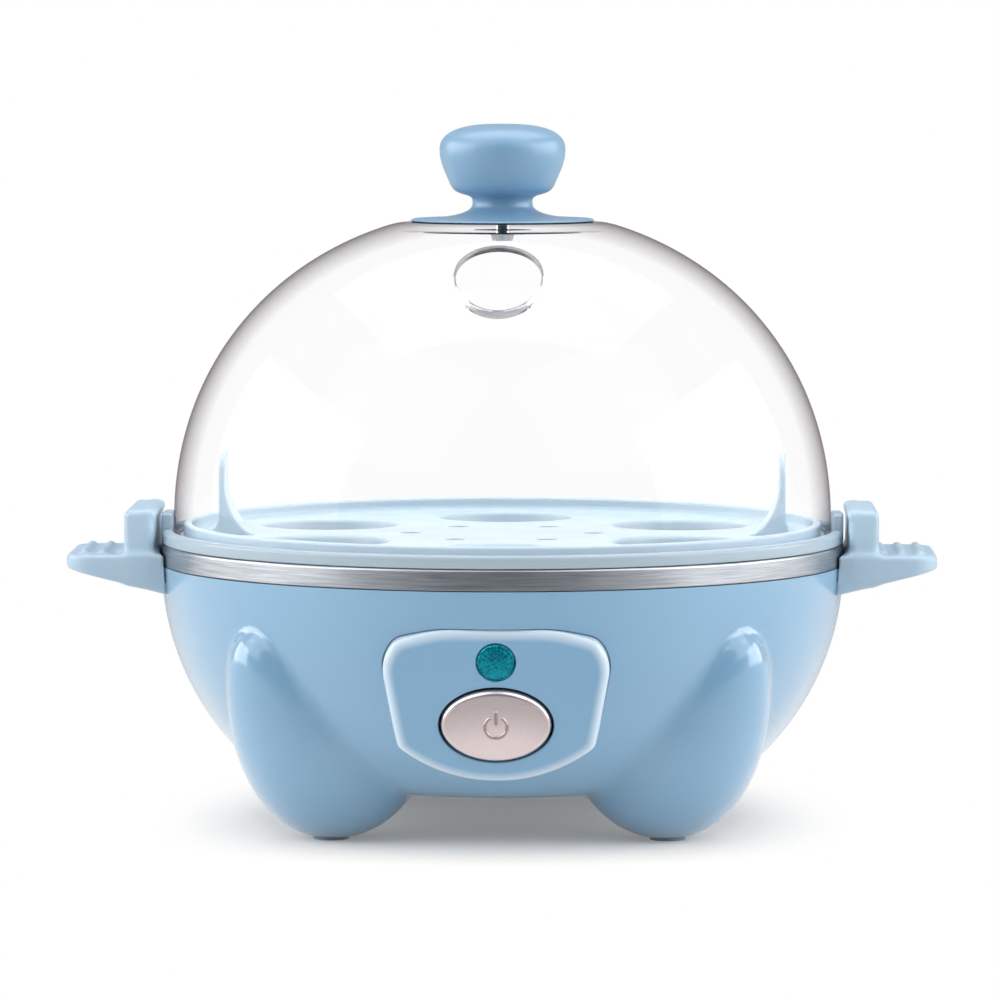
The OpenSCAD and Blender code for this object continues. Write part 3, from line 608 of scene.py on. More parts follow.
def power_mark():
    """The two raised lines of the power mark: an open ring and a bar."""
    def on_cap(x, y):
        return x, BUTTON_Y + y, BUTTON_TOP - BUTTON_R + math.sqrt(BUTTON_R**2 - x * x - y * y) - 0.06

    gap = math.radians(36)
    turns = np.linspace(gap, 2 * math.pi - gap, 49)
    ring = bead([on_cap(2.55 * math.sin(t), 2.55 * math.cos(t)) for t in turns], 0.42)
    bar = bead([on_cap(0, y) for y in np.linspace(0.75, 3.55, 9)], 0.42)
    return ring, bar


def button_f(p):
    """The oval cap with its domed face."""
    x, y, z = p[:, 0], p[:, 1] - BUTTON_Y, p[:, 2]
    k0 = np.hypot(x / BUTTON_A, y / BUTTON_B)
    k1 = np.hypot(x / BUTTON_A**2, y / BUTTON_B**2)
    side = k0 * (k0 - 1) / np.maximum(k1, 1e-4)
    dome = np.sqrt(x**2 + y**2 + (z + BUTTON_R - BUTTON_TOP) ** 2) - BUTTON_R
    return smax(smax(side, dome, 1.3), -3.0 - z, 0.3)


def build_button():
    """The cap with its raised mark, whose faces get the second slot, a darker look that is painted shade
    on the raised lines.
    """
    ob = moulded("power_button_cap", button_f, (-13, -14, -3.2), (13, 4.5, 2), 0.34, relax=2)
    for line in power_mark():
        boolean(ob, line, "UNION")
    cap = Vector((0, BUTTON_Y, BUTTON_TOP - BUTTON_R)) * MM
    # the mark's faces get the darker look: painted shade in place of the shading of the raised lines
    for face in ob.data.polygons:
        raised = (face.center - cap).length / MM - BUTTON_R
        face.material_index = 1 if raised > 0.06 and face.center.z > 0 else 0
    ob.data.shade_smooth()
    ob.data.set_sharp_from_angle(angle=math.radians(35))
    return on_panel(ob)


def build_lens():
    """A lens whose dome is hammered into small facets."""
    arc_r, face_r, top = 8.9, 4.3, 0.8
    rng = np.random.default_rng(5)
    seeds = []
    for ring in range(5):
        n = max(1, round(2 * math.pi * ring * 0.95))
        for i in range(n):
            t = 2 * math.pi * (i + 0.5 * (ring % 2)) / n
            r = ring * 0.98 + rng.uniform(-0.12, 0.12)
            x = r * math.cos(t) + rng.uniform(-0.1, 0.1)
            seeds.append((x, r * math.sin(t) + rng.uniform(-0.1, 0.1)))
    seeds = np.array(seeds)
    pts = [(0, top)]
    for i in range(1, 22):
        r = face_r * i / 21
        pts.append((r, top - arc_r + math.sqrt(arc_r**2 - r * r)))
    pts += [(4.43, -0.35), (LENS_R, -0.7), (LENS_R, -2.5), (0, -2.5)]
    ob = lathe("lens_hammered", pts, 120)
    co = read_points(ob) / MM
    d = np.hypot(co[:, None, 0] - seeds[:, 0], co[:, None, 1] - seeds[:, 1]).min(1)
    face = (co[:, 2] > -0.34) & (np.hypot(co[:, 0], co[:, 1]) < 4.4)
    co[:, 2] -= np.where(face, 0.45 * np.minimum(d, 0.62) ** 2, 0)
    write_points(ob, co * MM)
    move(ob, (0, LENS_Y, 0))
    return crisp(on_panel(ob), 50)


def build_grip(name, side):
    """A grip on the right (side 1) or the left (side -1)."""
    ob = moulded(name, grip_f, (79, -19, 53), (104.5, 19, 76), 0.62)
    skin_normals(ob, [grip_f], tol=0.04)
    return move(ob, turn=HALF_TURN) if side < 0 else ob


def build_pan():
    """A sheet with a floor, a leaning wall, a flange and the band turned down around the rim."""
    sheet = [
        (0, PAN_Z, 0), (69, PAN_Z, 0), (72, PAN_Z, 2.6), (75, BAND_TOP - PAN_T, 0.6),
        (RIM_R - PAN_T, BAND_TOP - PAN_T, 0.2), (RIM_R - PAN_T, BAND_Z, 0.15),
        (RIM_R, BAND_Z, 0.3), (RIM_R, BAND_TOP, 0.75), (75 - PAN_T, BAND_TOP, 0.9),
        (72 - PAN_T, PAN_Z + PAN_T, 2.0), (0, PAN_Z + PAN_T, 0),
    ]
    return crisp(lathe("water_pan", fillet(sheet, 6), 192), 35)


def build_knob():
    """A mushroom on a flared flange."""
    z0 = CROWN_Z
    pts = [(0, z0), (21.6, z0), (22, z0 + 0.25), (21.9, z0 + 0.5), (21.2, z0 + 0.75)]
    # flange flaring up into the neck
    for i in range(1, 13):
        a = math.pi / 2 * i / 12
        r = NECK_R + 14.0 * (1 - math.sin(a)) ** 1.15
        pts.append((r, z0 + 0.75 + 3.65 * (1 - math.cos(a)) ** 1.05))
    # neck, then the bottom of the head
    pts += [(7.22, z0 + 5.2), (7.5, z0 + 5.75), (8.2, z0 + 6.2), (9.3, z0 + 6.5), (10.4, z0 + 6.85)]
    pts += [(11.3, z0 + 7.3), (12.0, z0 + 7.95), (12.55, z0 + 8.9)]
    for i in range(1, 10):
        s = i / 9
        z = z0 + 8.9 + (KNOB_WIDEST_Z - z0 - 8.9) * s
        pts.append((12.55 + 2.55 * math.sin(math.pi / 2 * s) ** 1.1, z))
    for i in range(1, 19):
        a = math.pi / 2 * i / 18
        z = KNOB_WIDEST_Z + KNOB_TOP_H * math.sin(a) ** (2 / 2.4)
        pts.append((KNOB_R * math.cos(a) ** (2 / 2.7), z))
    pts[-1] = (0, KNOB_WIDEST_Z + KNOB_TOP_H)
    return crisp(lathe("knob_turned", pts, 160), 60)


def dome_field(inset):
    """The dome's outer skin, or its inner one where inset is the wall."""
    power = 2 / DOME_POWER
    a, b = DOME_R - inset, DOME_H - inset
    top = CROWN_Z - inset

    def f(p):
        r = np.maximum(np.hypot(p[:, 0], p[:, 1]), 1e-6)
        z = np.maximum(p[:, 2] - DOME_SPRING_Z, 0)
        g = (r / a) ** power + (z / b) ** power
        shell = (g ** (1 / power) - 1) * a
        return smax(shell, p[:, 2] - top, 0.9)

    return f


def dome_z(r):
    """Height of the dome's outer skin."""
    power = 2 / DOME_POWER
    return DOME_SPRING_Z + DOME_H * (1 - (r / DOME_R) ** power) ** (1 / power)


def vent_tool(n=128):
    """The steam vent, cut square to the dome, with its edges rounded on both skins."""
    middle = np.array([[0.0, VENT_Y, dome_z(abs(VENT_Y))]])
    normal = gradient(dome_field(0), middle)[0]
    normal /= np.linalg.norm(normal)
    # how far the edge stands outside the hole, and above the skin
    edge = [
        (1.4, 4.0), (1.4, 0.7), (0.75, 0.07), (0.5, -0.05), (0.28, -0.17), (0.1, -0.36), (0.0, -0.62),
    ]
    steps = [(r, z, 0.0) for r, z in edge] + [(r, -z, -DOME_T) for r, z in edge[::-1]]
    loops = []
    for grow, rise, skin in steps:
        loop = []
        for i in range(n):
            t = 2 * math.pi * i / n
            x, y = (VENT_R + grow) * math.cos(t), VENT_Y + (VENT_R + grow) * math.sin(t)
            on_skin = np.array([x, y, dome_z(math.hypot(x, y))])
            loop.append(tuple(on_skin + (rise + skin) * normal))
        loops.append(loop)
    return loft("tool", loops)


def build_dome():
    """The clear shell, with its vent and the hole of the knob's screw."""
    outer_f, inner_f = dome_field(0), dome_field(DOME_T)
    rows = 60

    def curve(f):
        """The profile of a skin, found along rays from the middle of the dome's foot."""
        pts = []
        for i in range(rows + 1):
            a = (math.pi / 2) * i / rows
            d = np.array([math.cos(a), math.sin(a)])
            lo, hi = 10.0, 120.0
            for _ in range(40):
                mid = (lo + hi) / 2
                p = np.array([[d[0] * mid, 0, DOME_SPRING_Z + d[1] * mid]])
                lo, hi = (mid, hi) if f(p)[0] < 0 else (lo, mid)
            pts.append((max(0, d[0] * lo) if i < rows else 0, DOME_SPRING_Z + d[1] * lo))
        return pts

    outer, inner = curve(outer_f), curve(inner_f)
    z0 = DOME_FOOT_Z
    inner_r = DOME_R - DOME_T
    profile = [(inner_r + 0.4, z0), (DOME_R - 0.4, z0), (DOME_R - 0.1, z0 + 0.12), (DOME_R, z0 + 0.4)]
    profile += [(DOME_R, z0 + 1.6)] + outer + inner[::-1]
    profile += [(inner_r, z0 + 1.6), (inner_r, z0 + 0.4), (inner_r + 0.1, z0 + 0.12)]
    poles = [i for i, (r, z) in enumerate(profile) if r == 0]
    profile = profile[poles[1]:] + profile[:poles[0] + 1]
    ob = lathe("dome_clear", profile, 192)
    boolean(ob, vent_tool())
    boolean(ob, cylinder(1.7, 130, 150, segments=32))
    skin_normals(ob, [outer_f, inner_f], tol=0.03)
    # slots, as place() lists the looks: 1 the vent's edge, painted dark as shade, 2 the inner skin, 3
    # under the knob, painted dark teal as the knob's shade
    middles = np.array([face.center for face in ob.data.polygons]) / MM
    fields = zip(ob.data.polygons, middles, outer_f(middles), inner_f(middles))
    for face, (x, y, z), out, inside in fields:
        if z > CROWN_Z - DOME_T - 0.3 and math.hypot(x, y) < 24.2:
            face.material_index = 3
        elif z > DOME_SPRING_Z + 5 and out < -0.03 and inside > 0.03:
            face.material_index = 1
        elif inside < 0.6:
            face.material_index = 2
    return ob


def build_tray():
    """Ring, groove, skirt and floor in one turned piece, with the seats' cups and all holes."""
    z0 = TRAY_Z
    profile = [
        (0, z0, 0), (72.4, z0, 0.4), (72.4, z0 - 2.2, 0.3), (73.3, z0 - 2.2, 0.3), (73.7, z0, 0.1),
        (RIM_R, z0, 0.4), (RIM_R, z0 + TRAY_RIM_H, 0.9), (RING_IN_R, z0 + TRAY_RIM_H, 0.4),
        (RING_IN_R, z0 + GROOVE_FLOOR, 0.3), (76.6, z0 + GROOVE_FLOOR, 0.3),
        (76.6, z0 + TRAY_LIP_H, 0.7), (74.6, z0 + TRAY_LIP_H, 0.7),
        (74.6, z0 + TRAY_FLOOR_T, 1.2), (0, z0 + TRAY_FLOOR_T, 0),
    ]
    ob = lathe("tray_moulded", fillet(profile, 5), 192)
    # the seats' lowest point; the top of the tray's floor is 9 above it
    z1 = z0 - SEAT_BELOW
    cup = fillet([(0, z1, 0), (15.9, z1, 0.5), (17.9, z1 + 9.0 - 0.3, 0), (0, z1 + 8.7, 0)], 4)
    hollow = [
        (0, z1 - 1), (15.2, z1 - 1), (14.6, z1 + 0.2), (14.62, z1 + 0.6), (16.2, z1 + 8.0),
        (16.35, z1 + 8.45), (16.7, z1 + 8.8), (17.2, z1 + 9.02), (17.8, z1 + 9.2), (0, z1 + 9.2),
    ]
    steam = [
        (0, z0 - 1), (STEAM_HOLE_R, z0 - 1), (STEAM_HOLE_R, z0 + 1.3), (2.65, z0 + 1.65),
        (3.0, z0 + 1.85), (0, z0 + 2.2),
    ]
    seats = [on_circle(SEAT_RING_R, -90 + i * 360 / SEATS) for i in range(SEATS)]
    vents = [on_circle(STEAM_RING_R, i * 360 / STEAM_HOLES) for i in range(STEAM_HOLES)]
    for shape, segments, places, operation in (
        (cup, 96, seats, "UNION"), (hollow, 96, seats, "DIFFERENCE"), (steam, 40, vents, "DIFFERENCE"),
    ):
        for x, y in places:
            tool = move(lathe("tool", shape, segments), (x, y, 0))
            # the exact solver leaves a skin over four of the seats
            boolean(ob, tool, operation, solver="MANIFOLD")
    return crisp(ob, 35)


def tab_f(p):
    """The lifting tab on +X with its flared root."""
    x, y, z = p.T
    base = TRAY_Z + TRAY_FLOOR_T
    up = np.clip((z - base) / 13.65, 0, 1)
    inner = 66.5 - 8.5 * (1 - np.sqrt(np.maximum(1 - (1 - up) ** 2, 0)))
    low = np.clip((z - base) / 5.0, 0, 1)
    outer = 68 + 3.3 * (1 - np.sqrt(np.maximum(1 - (1 - low) ** 2, 0)))
    slab = np.maximum((inner - x) * 0.8, x - outer)
    corner = 4
    face = corner_f(np.abs(y) - TAB_W / 2 + corner, z - (base + TAB_H) + corner, corner)
    return smax(smax(slab, face, 0.6), base - 0.9 - z, 0.2)


def lug_f(p):
    """The slotted lug on the ring at +X."""
    x, y, z = p.T
    r = np.hypot(x, y)
    top = TRAY_Z + TRAY_RIM_H + LUG_H
    f = smax(smax(np.maximum(r - RIM_R, RING_IN_R - r), np.abs(y) - LUG_W / 2, 0.7), z - top, 0.7)
    for side in (-1, 1):
        slot = np.maximum(np.abs(y - side * 2.8) - 0.9, TRAY_Z + 4 - z)
        f = smax(f, -slot, 0.3)
    return smax(f, TRAY_Z + 2.4 - z, 0.1)


def build_tabs(side):
    """The lifting tab and the slotted lug of one side."""
    tab = moulded("tray_tab", tab_f, (57, -8.5, 67), (72, 8.5, 89), 0.42, relax=2)
    lug = moulded("tray_lug", lug_f, (78.5, -8, 69), (82.5, 8, 75), 0.3, relax=1)
    for ob in (tab, lug):
        ob.data.shade_smooth()
        if side < 0:
            move(ob, turn=HALF_TURN)
    tab.name, lug.name = (n + ("_right" if side > 0 else "_left") for n in ("tray_tab", "tray_lug"))
    return [tab, lug]


# ---------- materials ----------

def linear(rgb):
    """A colour written in screen levels from 0 to 255, as Blender's linear values."""
    out = []
    for c in rgb:
        c /= 255
        out.append(c / 12.92 if c <= 0.04045 else ((c + 0.055) / 1.055) ** 2.4)
    return (*out, 1.0)


class Tree:
    """A node tree with short calls for its nodes, which take sockets or plain numbers."""

    def __init__(self, tree):
        self.tree = tree

    def node(self, kind, **values):
        """A new node with its properties set."""
        n = self.tree.nodes.new(kind)
        for key, value in values.items():
            setattr(n, key, value)
        return n

    def put(self, value, socket):
        """Feeds an input socket."""
        if isinstance(value, bpy.types.NodeSocket):
            self.tree.links.new(value, socket)
        else:
            socket.default_value = value

    def math(self, operation, *values, clamp=False):
        """A calculation with one to three values."""
        n = self.node("ShaderNodeMath", operation=operation, use_clamp=clamp)
        for value, socket in zip(values, n.inputs):
            self.put(value, socket)
        return n.outputs[0]

    def split(self, vector):
        """The X, Y and Z of a vector."""
        n = self.node("ShaderNodeSeparateXYZ")
        self.put(vector, n.inputs[0])
        return n.outputs

    def scaled(self, vector, factors):
        """A vector times a factor on each axis."""
        n = self.node("ShaderNodeVectorMath", operation="MULTIPLY")
        self.put(vector, n.inputs[0])
        n.inputs[1].default_value = factors
        return n.outputs[0]

    def spread(self, fac, low, high, start=0.3, end=0.7, interpolation="LINEAR"):
        """Maps a factor to a range."""
        n = self.node("ShaderNodeMapRange", interpolation_type=interpolation)
        self.put(fac, n.inputs["Value"])
        for name, value in (("From Min", start), ("From Max", end), ("To Min", low), ("To Max", high)):
            n.inputs[name].default_value = value
        return n.outputs["Result"]

    def mix(self, fac, a, b, kind="RGBA"):
        """Two colours, or two numbers where kind is FLOAT, mixed by a factor."""
        n = self.node("ShaderNodeMix", data_type=kind)
        for name, value in (("Factor", fac), ("A", a), ("B", b)):
            self.put(value, n.inputs[name])
        return n.outputs["Result"]

    def shaders(self, fac, a, b, out):
        """Mixes two shaders into the surface of an output."""
        n = self.node("ShaderNodeMixShader")
        for value, socket in zip((fac, a.outputs[0], b.outputs[0]), n.inputs):
            self.put(value, socket)
        self.put(n.outputs[0], out.inputs["Surface"])

    def rays(self):
        """Three switches: seen directly or through what is clear, seen in any way, seen mirrored."""
        path = self.node("ShaderNodeLightPath").outputs
        through = self.math("MAXIMUM", path["Is Camera Ray"], path["Is Transmission Ray"])
        seen = self.math("MAXIMUM", through, path["Is Glossy Ray"])
        # light that has left a matt surface isn't looking at the background
        seen = self.math("SUBTRACT", seen, path["Diffuse Depth"], clamp=True)
        # rays through the dome count as glossy too
        mirrored = self.math("SUBTRACT", path["Is Glossy Ray"], path["Is Transmission Ray"], clamp=True)
        return through, seen, mirrored


class Look(Tree):
    """A material."""

    def __init__(self, name):
        self.mat = bpy.data.materials.new(name)
        self.mat.use_nodes = True
        super().__init__(self.mat.node_tree)
        self.bsdf = self.tree.nodes["Principled BSDF"]
        self.out = self.tree.nodes["Material Output"]
        self.coords = self.node("ShaderNodeTexCoord").outputs["Object"]

    def set(self, **values):
        """Feeds inputs of the surface shader, named with _ for spaces."""
        for key, value in values.items():
            self.put(value, self.bsdf.inputs[key.replace("_", " ")])

    def noise(self, scale, detail=2.0, rough=0.5, coords=None):
        """Noise in the object's own coordinates, or in those given."""
        n = self.node("ShaderNodeTexNoise")
        n.inputs["Scale"].default_value = scale
        n.inputs["Detail"].default_value = detail
        n.inputs["Roughness"].default_value = rough
        self.put(coords or self.coords, n.inputs["Vector"])
        return n.outputs["Fac"]

    def bump(self, height, strength, distance, under=None):
        """A normal from a height, on top of another one if given."""
        n = self.node("ShaderNodeBump")
        n.inputs["Strength"].default_value = strength
        n.inputs["Distance"].default_value = distance
        self.put(height, n.inputs["Height"])
        if under:
            self.put(under, n.inputs["Normal"])
        return n.outputs[0]

    def around(self, factors):
        """Coordinates that run around the axis, up it and away from it, for turned surfaces."""
        x, y, z = self.split(self.coords)
        r = self.math("SQRT", self.math("MULTIPLY_ADD", y, y, self.math("MULTIPLY", x, x)))
        c = self.node("ShaderNodeCombineXYZ")
        for value, factor, socket in zip((self.math("ARCTAN2", y, x), z, r), factors, c.inputs):
            self.put(self.math("MULTIPLY", value, factor), socket)
        return c.outputs[0]


def plastic(name, colour, deep, rough=(0.2, 0.27), coat=0.0, grain=0.0, grain_scale=3000, wave=0.03,
            sss=0.0):
    """Moulded plastic: a slow drift of tone, a faint waviness of the skin and a fine grain."""
    m = Look(name)
    drift = m.spread(m.noise(12, 1, 0.5), 0, 1, 0.2, 0.8)
    normal = m.bump(m.noise(55, 1, 0.4), wave, 0.002)
    if grain:
        normal = m.bump(m.noise(grain_scale, 2, 0.6), grain, 0.0001, normal)
    m.set(Base_Color=m.mix(drift, linear(colour), linear(deep)), Normal=normal,
          Roughness=m.spread(m.noise(70, 1, 0.5), *rough, 0.2, 0.8))
    m.set(IOR=1.5, Coat_Weight=coat, Coat_Roughness=0.06, Subsurface_Weight=sss, Subsurface_Scale=0.004)
    return m


def metal(name, light, dark, rough, factors, bump=0.12, around=True):
    """Brushed or turned metal with fine lines, fingers of tone and small changes of gloss."""
    m = Look(name)
    lines = m.noise(1.0, 3, 0.65, m.around(factors) if around else m.scaled(m.coords, factors))
    both = m.math("MULTIPLY", lines, m.noise(90, 3, 0.6))
    m.set(Base_Color=m.mix(m.spread(lines, 0, 1, 0.25, 0.75), linear(dark), linear(light)), Metallic=1.0,
          Roughness=m.spread(both, *rough, 0.1, 0.42), Normal=m.bump(lines, bump, 0.00008))
    return m


def cast(name, light, dark, rough, grain, bump=0.12):
    """Metal with an even grain instead of lines."""
    return metal(name, light, dark, rough, (grain,) * 3, bump, around=False)


def satin(name, light, dark):
    """The silvered plastic of the power button."""
    m = cast(name, light, dark, (0.18, 0.25), 2600, 0.06)
    m.set(Metallic=0.9)
    return m


def clear(name, ior, scale, grain, rough):
    """A clear plastic. Light goes straight through it where the index is 1."""
    m = Look(name)
    m.set(Roughness=m.spread(m.noise(scale, 3, grain), *rough), Transmission_Weight=1.0, IOR=ior)
    return m


def dome_looks():
    """The dome's skin with a painted dark outline where it is seen edge-on, the cut edge of its vent
    painted dark, its inside, and the ring under the knob painted dark as shade.
    """
    skin = clear("clear_dome", 1.0, 30, 0.5, (0.0, 0.012))
    # the skin is painted dark pinkish grey where it is seen edge-on: painted shade in place of the dark
    # refraction at the dome's outline
    facing = skin.node("ShaderNodeLayerWeight")
    facing.inputs["Blend"].default_value = 0.5
    outline = skin.spread(facing.outputs["Facing"], 0, 1, 0.65, 0.93)
    skin.set(Base_Color=skin.mix(outline, (0.99, 0.985, 0.987, 1), (0.2, 0.16, 0.175, 1)),
             Normal=skin.bump(skin.noise(16, 1, 0.4), 0.006, 0.002), Coat_Weight=0.3, Coat_Roughness=0.03)
    # the vent's cut edge is painted dark grey: painted shade in place of the dark refraction at its edge
    edge = clear("clear_dome_vent_painted_shade", 1.5, 400, 0.6, (0.02, 0.08))
    tone = edge.spread(edge.noise(200), 0, 1)
    edge.set(Base_Color=edge.mix(tone, (0.2, 0.19, 0.2, 1), (0.13, 0.12, 0.13, 1)))
    inside = clear("clear_dome_inside", 1.0, 30, 0.5, (0.0, 0.012))
    inside.set(Base_Color=inside.mix(inside.noise(40), (1, 1, 1, 1), (0.985, 0.985, 0.985, 1)))
    # the crown under the knob is painted dark teal: painted shade of the knob's flange seen through the
    # clear top
    crown = clear("clear_dome_crown_painted_shade", 1.3, 300, 0.6, (0.02, 0.08))
    crown.set(Base_Color=crown.mix(crown.noise(60), (0.03, 0.07, 0.065, 1), (0.015, 0.04, 0.04, 1)))
    return {"dome": skin, "dome_vent_painted_shade": edge, "dome_inside": inside, "dome_crown_painted_shade": crown}


def panel_look():
    """The bowl's blue with a fine grain, and a painted highlight on its round edge."""
    m = plastic("panel_blue", (125, 168, 201), (121, 165, 198), (0.19, 0.26), coat=0.6, wave=0.02,
                grain=0.1, grain_scale=2600)
    # the thin round edge of the panel is painted paler than its face: a painted highlight where the edge
    # catches the light
    edge = m.node("ShaderNodeAttribute", attribute_name="edge").outputs["Fac"]
    face = m.bsdf.inputs["Base Color"].links[0].from_socket
    m.set(Base_Color=m.mix(m.spread(edge, 0, 0.9, 0, 0.75), face, linear((204, 221, 235))),
          Coat_Roughness=0.14, IOR=1.4)
    return m


def build_materials():
    """All looks by their names in this script."""
    body = plastic("body_blue", (125, 168, 200), (121, 165, 198), (0.19, 0.26), coat=0.9, wave=0.02)
    body.set(Coat_Roughness=0.14, Coat_IOR=1.7, IOR=1.4, Sheen_Weight=0.12, Sheen_Roughness=0.4)
    knob = plastic("knob_blue", (119, 161, 193), (115, 157, 190), (0.3, 0.36), coat=0.5, grain=0.25,
                   sss=0.2)
    knob.set(Coat_Roughness=0.3)
    tray = plastic("tray_blue", (168, 187, 200), (163, 183, 197), (0.19, 0.26), wave=0.04, sss=0.1)
    tray.set(Transmission_Weight=0.06, IOR=1.45)

    lens = Look("teal_lens")
    tone = lens.spread(lens.noise(900, 3, 0.6), 0, 1)
    lens.set(Base_Color=lens.mix(tone, linear((0, 158, 178)), linear((0, 104, 124))), Metallic=0.7,
             Roughness=lens.spread(lens.noise(500), 0.1, 0.2))
    lamp = Look("lamp_glass")
    tone = lamp.spread(lamp.noise(300), 0, 1)
    lamp.set(Base_Color=lamp.mix(tone, linear((210, 150, 90)), linear((190, 120, 70))), Coat_Weight=0.5,
             Roughness=lamp.spread(lamp.noise(200), 0.05, 0.2))
    return {
        "body": body, "panel": panel_look(), "knob": knob, "tray": tray, "lens": lens, "lamp": lamp,
        **dome_looks(),
        "grip": plastic("grip_blue", (168, 194, 212), (163, 190, 209), (0.3, 0.36), grain=0.25, sss=0.2),
        "steel": metal("brushed_steel", (196, 198, 201), (128, 134, 143), (0.285, 0.36),
                       (5.0, 3200.0, 2500.0)),
        "screw": cast("screw_steel", (190, 190, 190), (150, 151, 152), (0.25, 0.42), 900),
        "aluminium": cast("cast_aluminium", (205, 206, 207), (176, 178, 180), (0.35, 0.5), 700, 0.3),
        "element": cast("element_steel", (120, 116, 112), (84, 80, 78), (0.35, 0.55), 500),
        "button": satin("button_satin", (234, 221, 222), (221, 207, 209)),
        # the power mark's darker colour is painted shade, not a print
        "button_mark_painted_shade": satin("button_mark_painted_shade", (188, 172, 175), (170, 154, 158)),
        "silicone": plastic("silicone", (226, 228, 228), (214, 217, 218), (0.45, 0.6), grain=0.3),
        "rubber": plastic("rubber_grey", (160, 176, 188), (148, 165, 178), (0.5, 0.7), grain=0.6,
                          grain_scale=1800),
        "black": plastic("black_plastic", (38, 39, 41), (30, 31, 33), (0.35, 0.5), grain=0.4),
        "white": plastic("white_plastic", (228, 228, 224), (218, 218, 214), (0.35, 0.5), grain=0.2),
        "ceramic": plastic("white_ceramic", (232, 230, 224), (220, 217, 210), (0.3, 0.6), grain=0.3),
    }


def dress(ob, names):
    """Gives a piece its materials, and keeps which of them each face has."""
    slots = np.empty(len(ob.data.polygons), np.int32)
    ob.data.polygons.foreach_get("material_index", slots)
    ob.data.materials.clear()
    for name in names:
        ob.data.materials.append(looks[name].mat)
    ob.data.polygons.foreach_set("material_index", slots)


# ---------- stage, lights and camera ----------

def build_floor():
    """White where it is looked at, beyond a soft patch around the cooker that takes its shadow."""
    corners = [(-3000, -900, 0), (3000, -900, 0), (3000, 3000, 0), (-3000, 3000, 0)]
    floor = new_object("studio_floor", corners, [[0, 1, 2, 3]])
    m = Look("studio_floor")
    m.set(Base_Color=(0.92, 0.88, 0.84, 1), Roughness=0.9, Specular_IOR_Level=0.0)
    _, seen, mirrored = m.rays()
    # glossy surfaces see it bright at the sides, and darker in front and behind
    way = m.node("ShaderNodeVectorMath", operation="NORMALIZE")
    m.put(m.coords, way.inputs[0])
    sides = m.math("ABSOLUTE", m.split(way.outputs[0])["X"])
    glow = m.node("ShaderNodeEmission")
    m.put(m.mix(mirrored, 1.0, m.spread(sides, 0.5, 1, 0.3, 0.85), "FLOAT"), glow.inputs["Strength"])
    away = m.node("ShaderNodeVectorMath", operation="LENGTH")
    m.put(m.scaled(m.coords, (2.0, 1.0, 1.0)), away.inputs[0])
    far = m.spread(away.outputs["Value"], 0.2, 1, 0.09, 0.17, "SMOOTHSTEP")
    m.shaders(m.math("MULTIPLY", far, seen), m.bsdf, glow, m.out)
    floor.data.materials.append(m.mat)


def build_world():
    """White where it is looked at, toned where it is mirrored, and a weak fill for all other light."""
    world = bpy.data.worlds.new("studio")
    bpy.context.scene.world = world
    world.use_nodes = True
    world.node_tree.nodes.clear()
    w = Tree(world.node_tree)
    through, seen, _ = w.rays()
    fill = w.node("ShaderNodeBackground")
    fill.inputs["Color"].default_value = (1, 1, 1, 1)
    fill.inputs["Strength"].default_value = 0.16
    # what shines back is bright at the sides, less so behind, and dark towards the front of the studio
    way = w.split(w.node("ShaderNodeTexCoord").outputs["Generated"])
    shine = w.node("ShaderNodeValToRGB")
    tones = [
        (0.0, (0.1, 0.14, 0.17)), (0.03, (0.14, 0.18, 0.21)), (0.16, (0.6, 0.63, 0.65)),
        (0.32, (1, 1, 1)), (0.6, (1, 1, 1)), (0.85, (0.5, 0.52, 0.54)), (1.0, (0.4, 0.42, 0.44)),
    ]
    for at, _ in tones[1:-1]:
        shine.color_ramp.elements.new(at)
    for element, (at, tone) in zip(shine.color_ramp.elements, tones):
        element.position, element.color = at, (*tone, 1)
    w.put(w.spread(way["Y"], 0, 1, -1, 1), shine.inputs["Fac"])
    white = w.node("ShaderNodeBackground")
    w.put(w.mix(through, shine.outputs["Color"], (1, 1, 1, 1)), white.inputs["Color"])
    w.shaders(seen, fill, white, w.node("ShaderNodeOutputWorld"))


def softbox(name, at, aim_z, size, power):
    """A lit rectangle that faces a point on the cooker's axis."""
    light = bpy.data.lights.new(name, "AREA")
    light.shape = "RECTANGLE"
    light.size, light.size_y = size
    light.energy = power
    ob = bpy.data.objects.new(name, light)
    ob.location = at
    ob.rotation_euler = (Vector((0, 0, aim_z)) - Vector(at)).to_track_quat("-Z", "Y").to_euler()
    bpy.context.scene.collection.objects.link(ob)


def build_lights():
    """Soft light from both fronts, both sides and above."""
    softbox("softbox_left", (-0.8, -0.75, 1.0), 0.06, (1.4, 1.1), 6.0)
    softbox("softbox_right", (0.8, -0.75, 1.0), 0.06, (1.4, 1.1), 6.0)
    softbox("side_left", (-1.15, -0.05, 0.42), 0.06, (1.5, 0.8), 10.5)
    softbox("side_right", (1.15, -0.05, 0.42), 0.06, (1.5, 0.8), 10.5)
    softbox("softbox_top", (0, 0.2, 1.2), 0.05, (1.5, 1.2), 11.0)


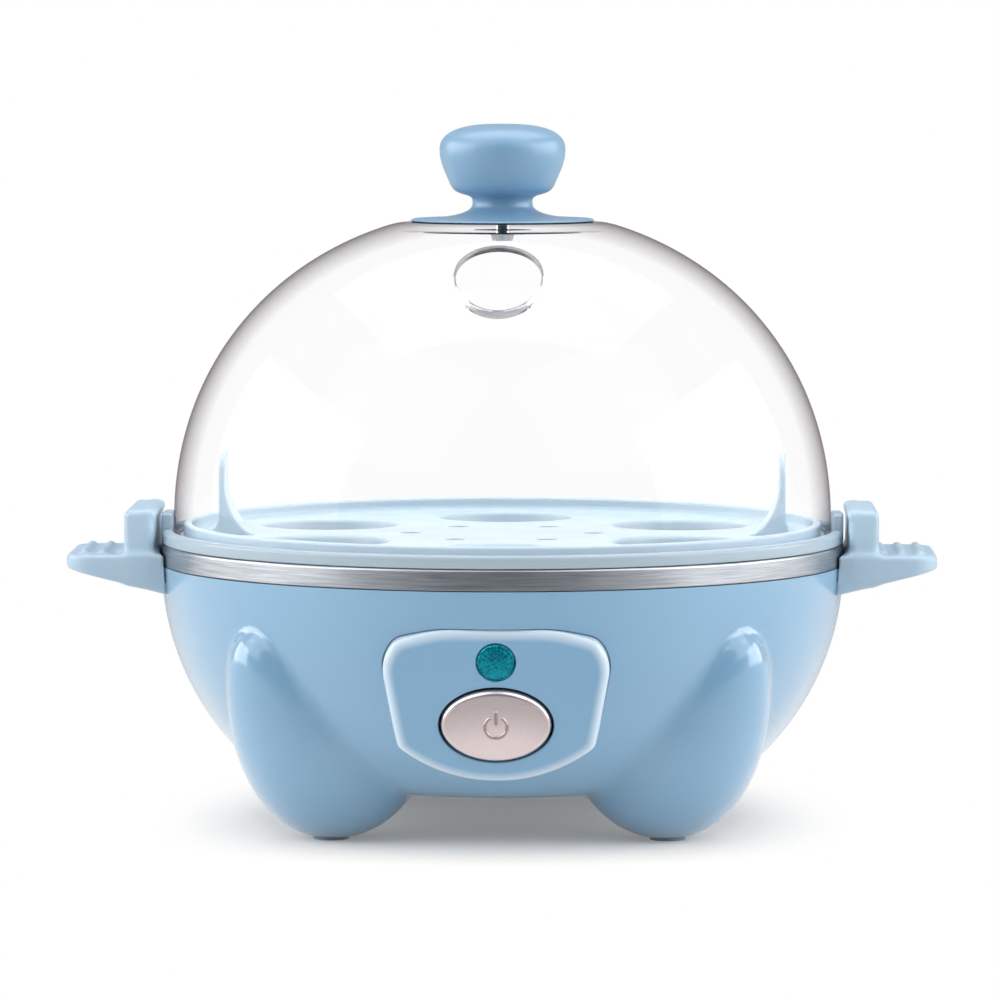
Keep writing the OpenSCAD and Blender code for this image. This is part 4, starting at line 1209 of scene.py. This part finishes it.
def build_camera():
    """The photograph's view: in metres and degrees, as found from its outline."""
    distance, height, azimuth, pitch, aside = 1.5, 0.1905, 1.1, 4.33, 0.023
    camera = bpy.data.cameras.new("camera")
    ob = bpy.data.objects.new("camera", camera)
    bpy.context.scene.collection.objects.link(ob)
    turn = math.radians(azimuth)
    ob.location = (distance * math.sin(turn), -distance * math.cos(turn), height)
    ob.rotation_euler = (math.pi / 2 - math.radians(pitch), 0, turn + math.radians(aside))
    camera.sensor_width = 36
    camera.lens = 224.9
    camera.clip_start, camera.clip_end = 0.05, 50
    bpy.context.scene.camera = ob


# ---------- assembly ----------

looks = build_materials()
build_camera()
build_floor()
build_world()
build_lights()


def place(ob, body, look, slot, *replaced):
    """Dresses a piece, and says what it rides on and which nodes it stands for. The slot is not used."""
    dress(ob, look if isinstance(look, tuple) else (look,))
    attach(ob, body)
    if replaced:
        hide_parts(*replaced)
    return ob


place(build_housing(), "base", "body", "body_blue", "base_housing")
place(build_panel(), "base", "panel", "body_blue", "control_panel")
place(build_lens(), "base", "lens", "teal_lens", "indicator_lens")
place(build_button(), "button", ("button", "button_mark_painted_shade"), "button_silver", "power_button")
place(build_grip("grip_right", 1), "base", "grip", "grip_blue", "side_handle_right")
place(build_grip("grip_left", -1), "base", "grip", "grip_blue", "side_handle_left")
place(build_pan(), "base", "steel", "brushed_steel", "heating_pan")
place(build_tray(), "tray", "tray", "tray_blue", "egg_tray")
for side in (1, -1):
    for piece in build_tabs(side):
        place(piece, "tray", "tray", "tray_blue", "egg_tray")
dome = place(build_dome(), "lid", ("dome", "dome_vent_painted_shade", "dome_inside", "dome_crown_painted_shade"), "clear_dome",
             "lid_dome")
dome.visible_shadow = False
place(build_knob(), "lid", "knob", "knob_blue", "lid_knob")

CAD_LOOKS = {
    "bottom_cover": "body", "cover_screws": "screw", "foot_pads": "rubber", "handle_screws": "screw",
    "pan_gasket": "silicone", "pan_standoffs": "screw", "pan_screws": "screw",
    "heat_spreader": "aluminium", "heating_element": "element", "thermostat": "black",
    "thermostat_bracket": "screw", "bracket_screws": "screw", "thermal_fuse": "ceramic",
    "heat_shield": "aluminium", "panel_screws": "screw", "switch_bracket": "screw",
    "power_switch": "black", "indicator_lamp": "lamp", "switch_plunger": "white",
    "terminal_block": "white", "cord_gland": "black", "knob_screw": "screw", "knob_washer": "screw",
}
for name, look in CAD_LOOKS.items():
    for s in nodes[name].material_slots:
        s.material = looks[look].mat

scene = bpy.context.scene
scene.view_settings.view_transform = "Standard"
bpy.context.view_layer.update()
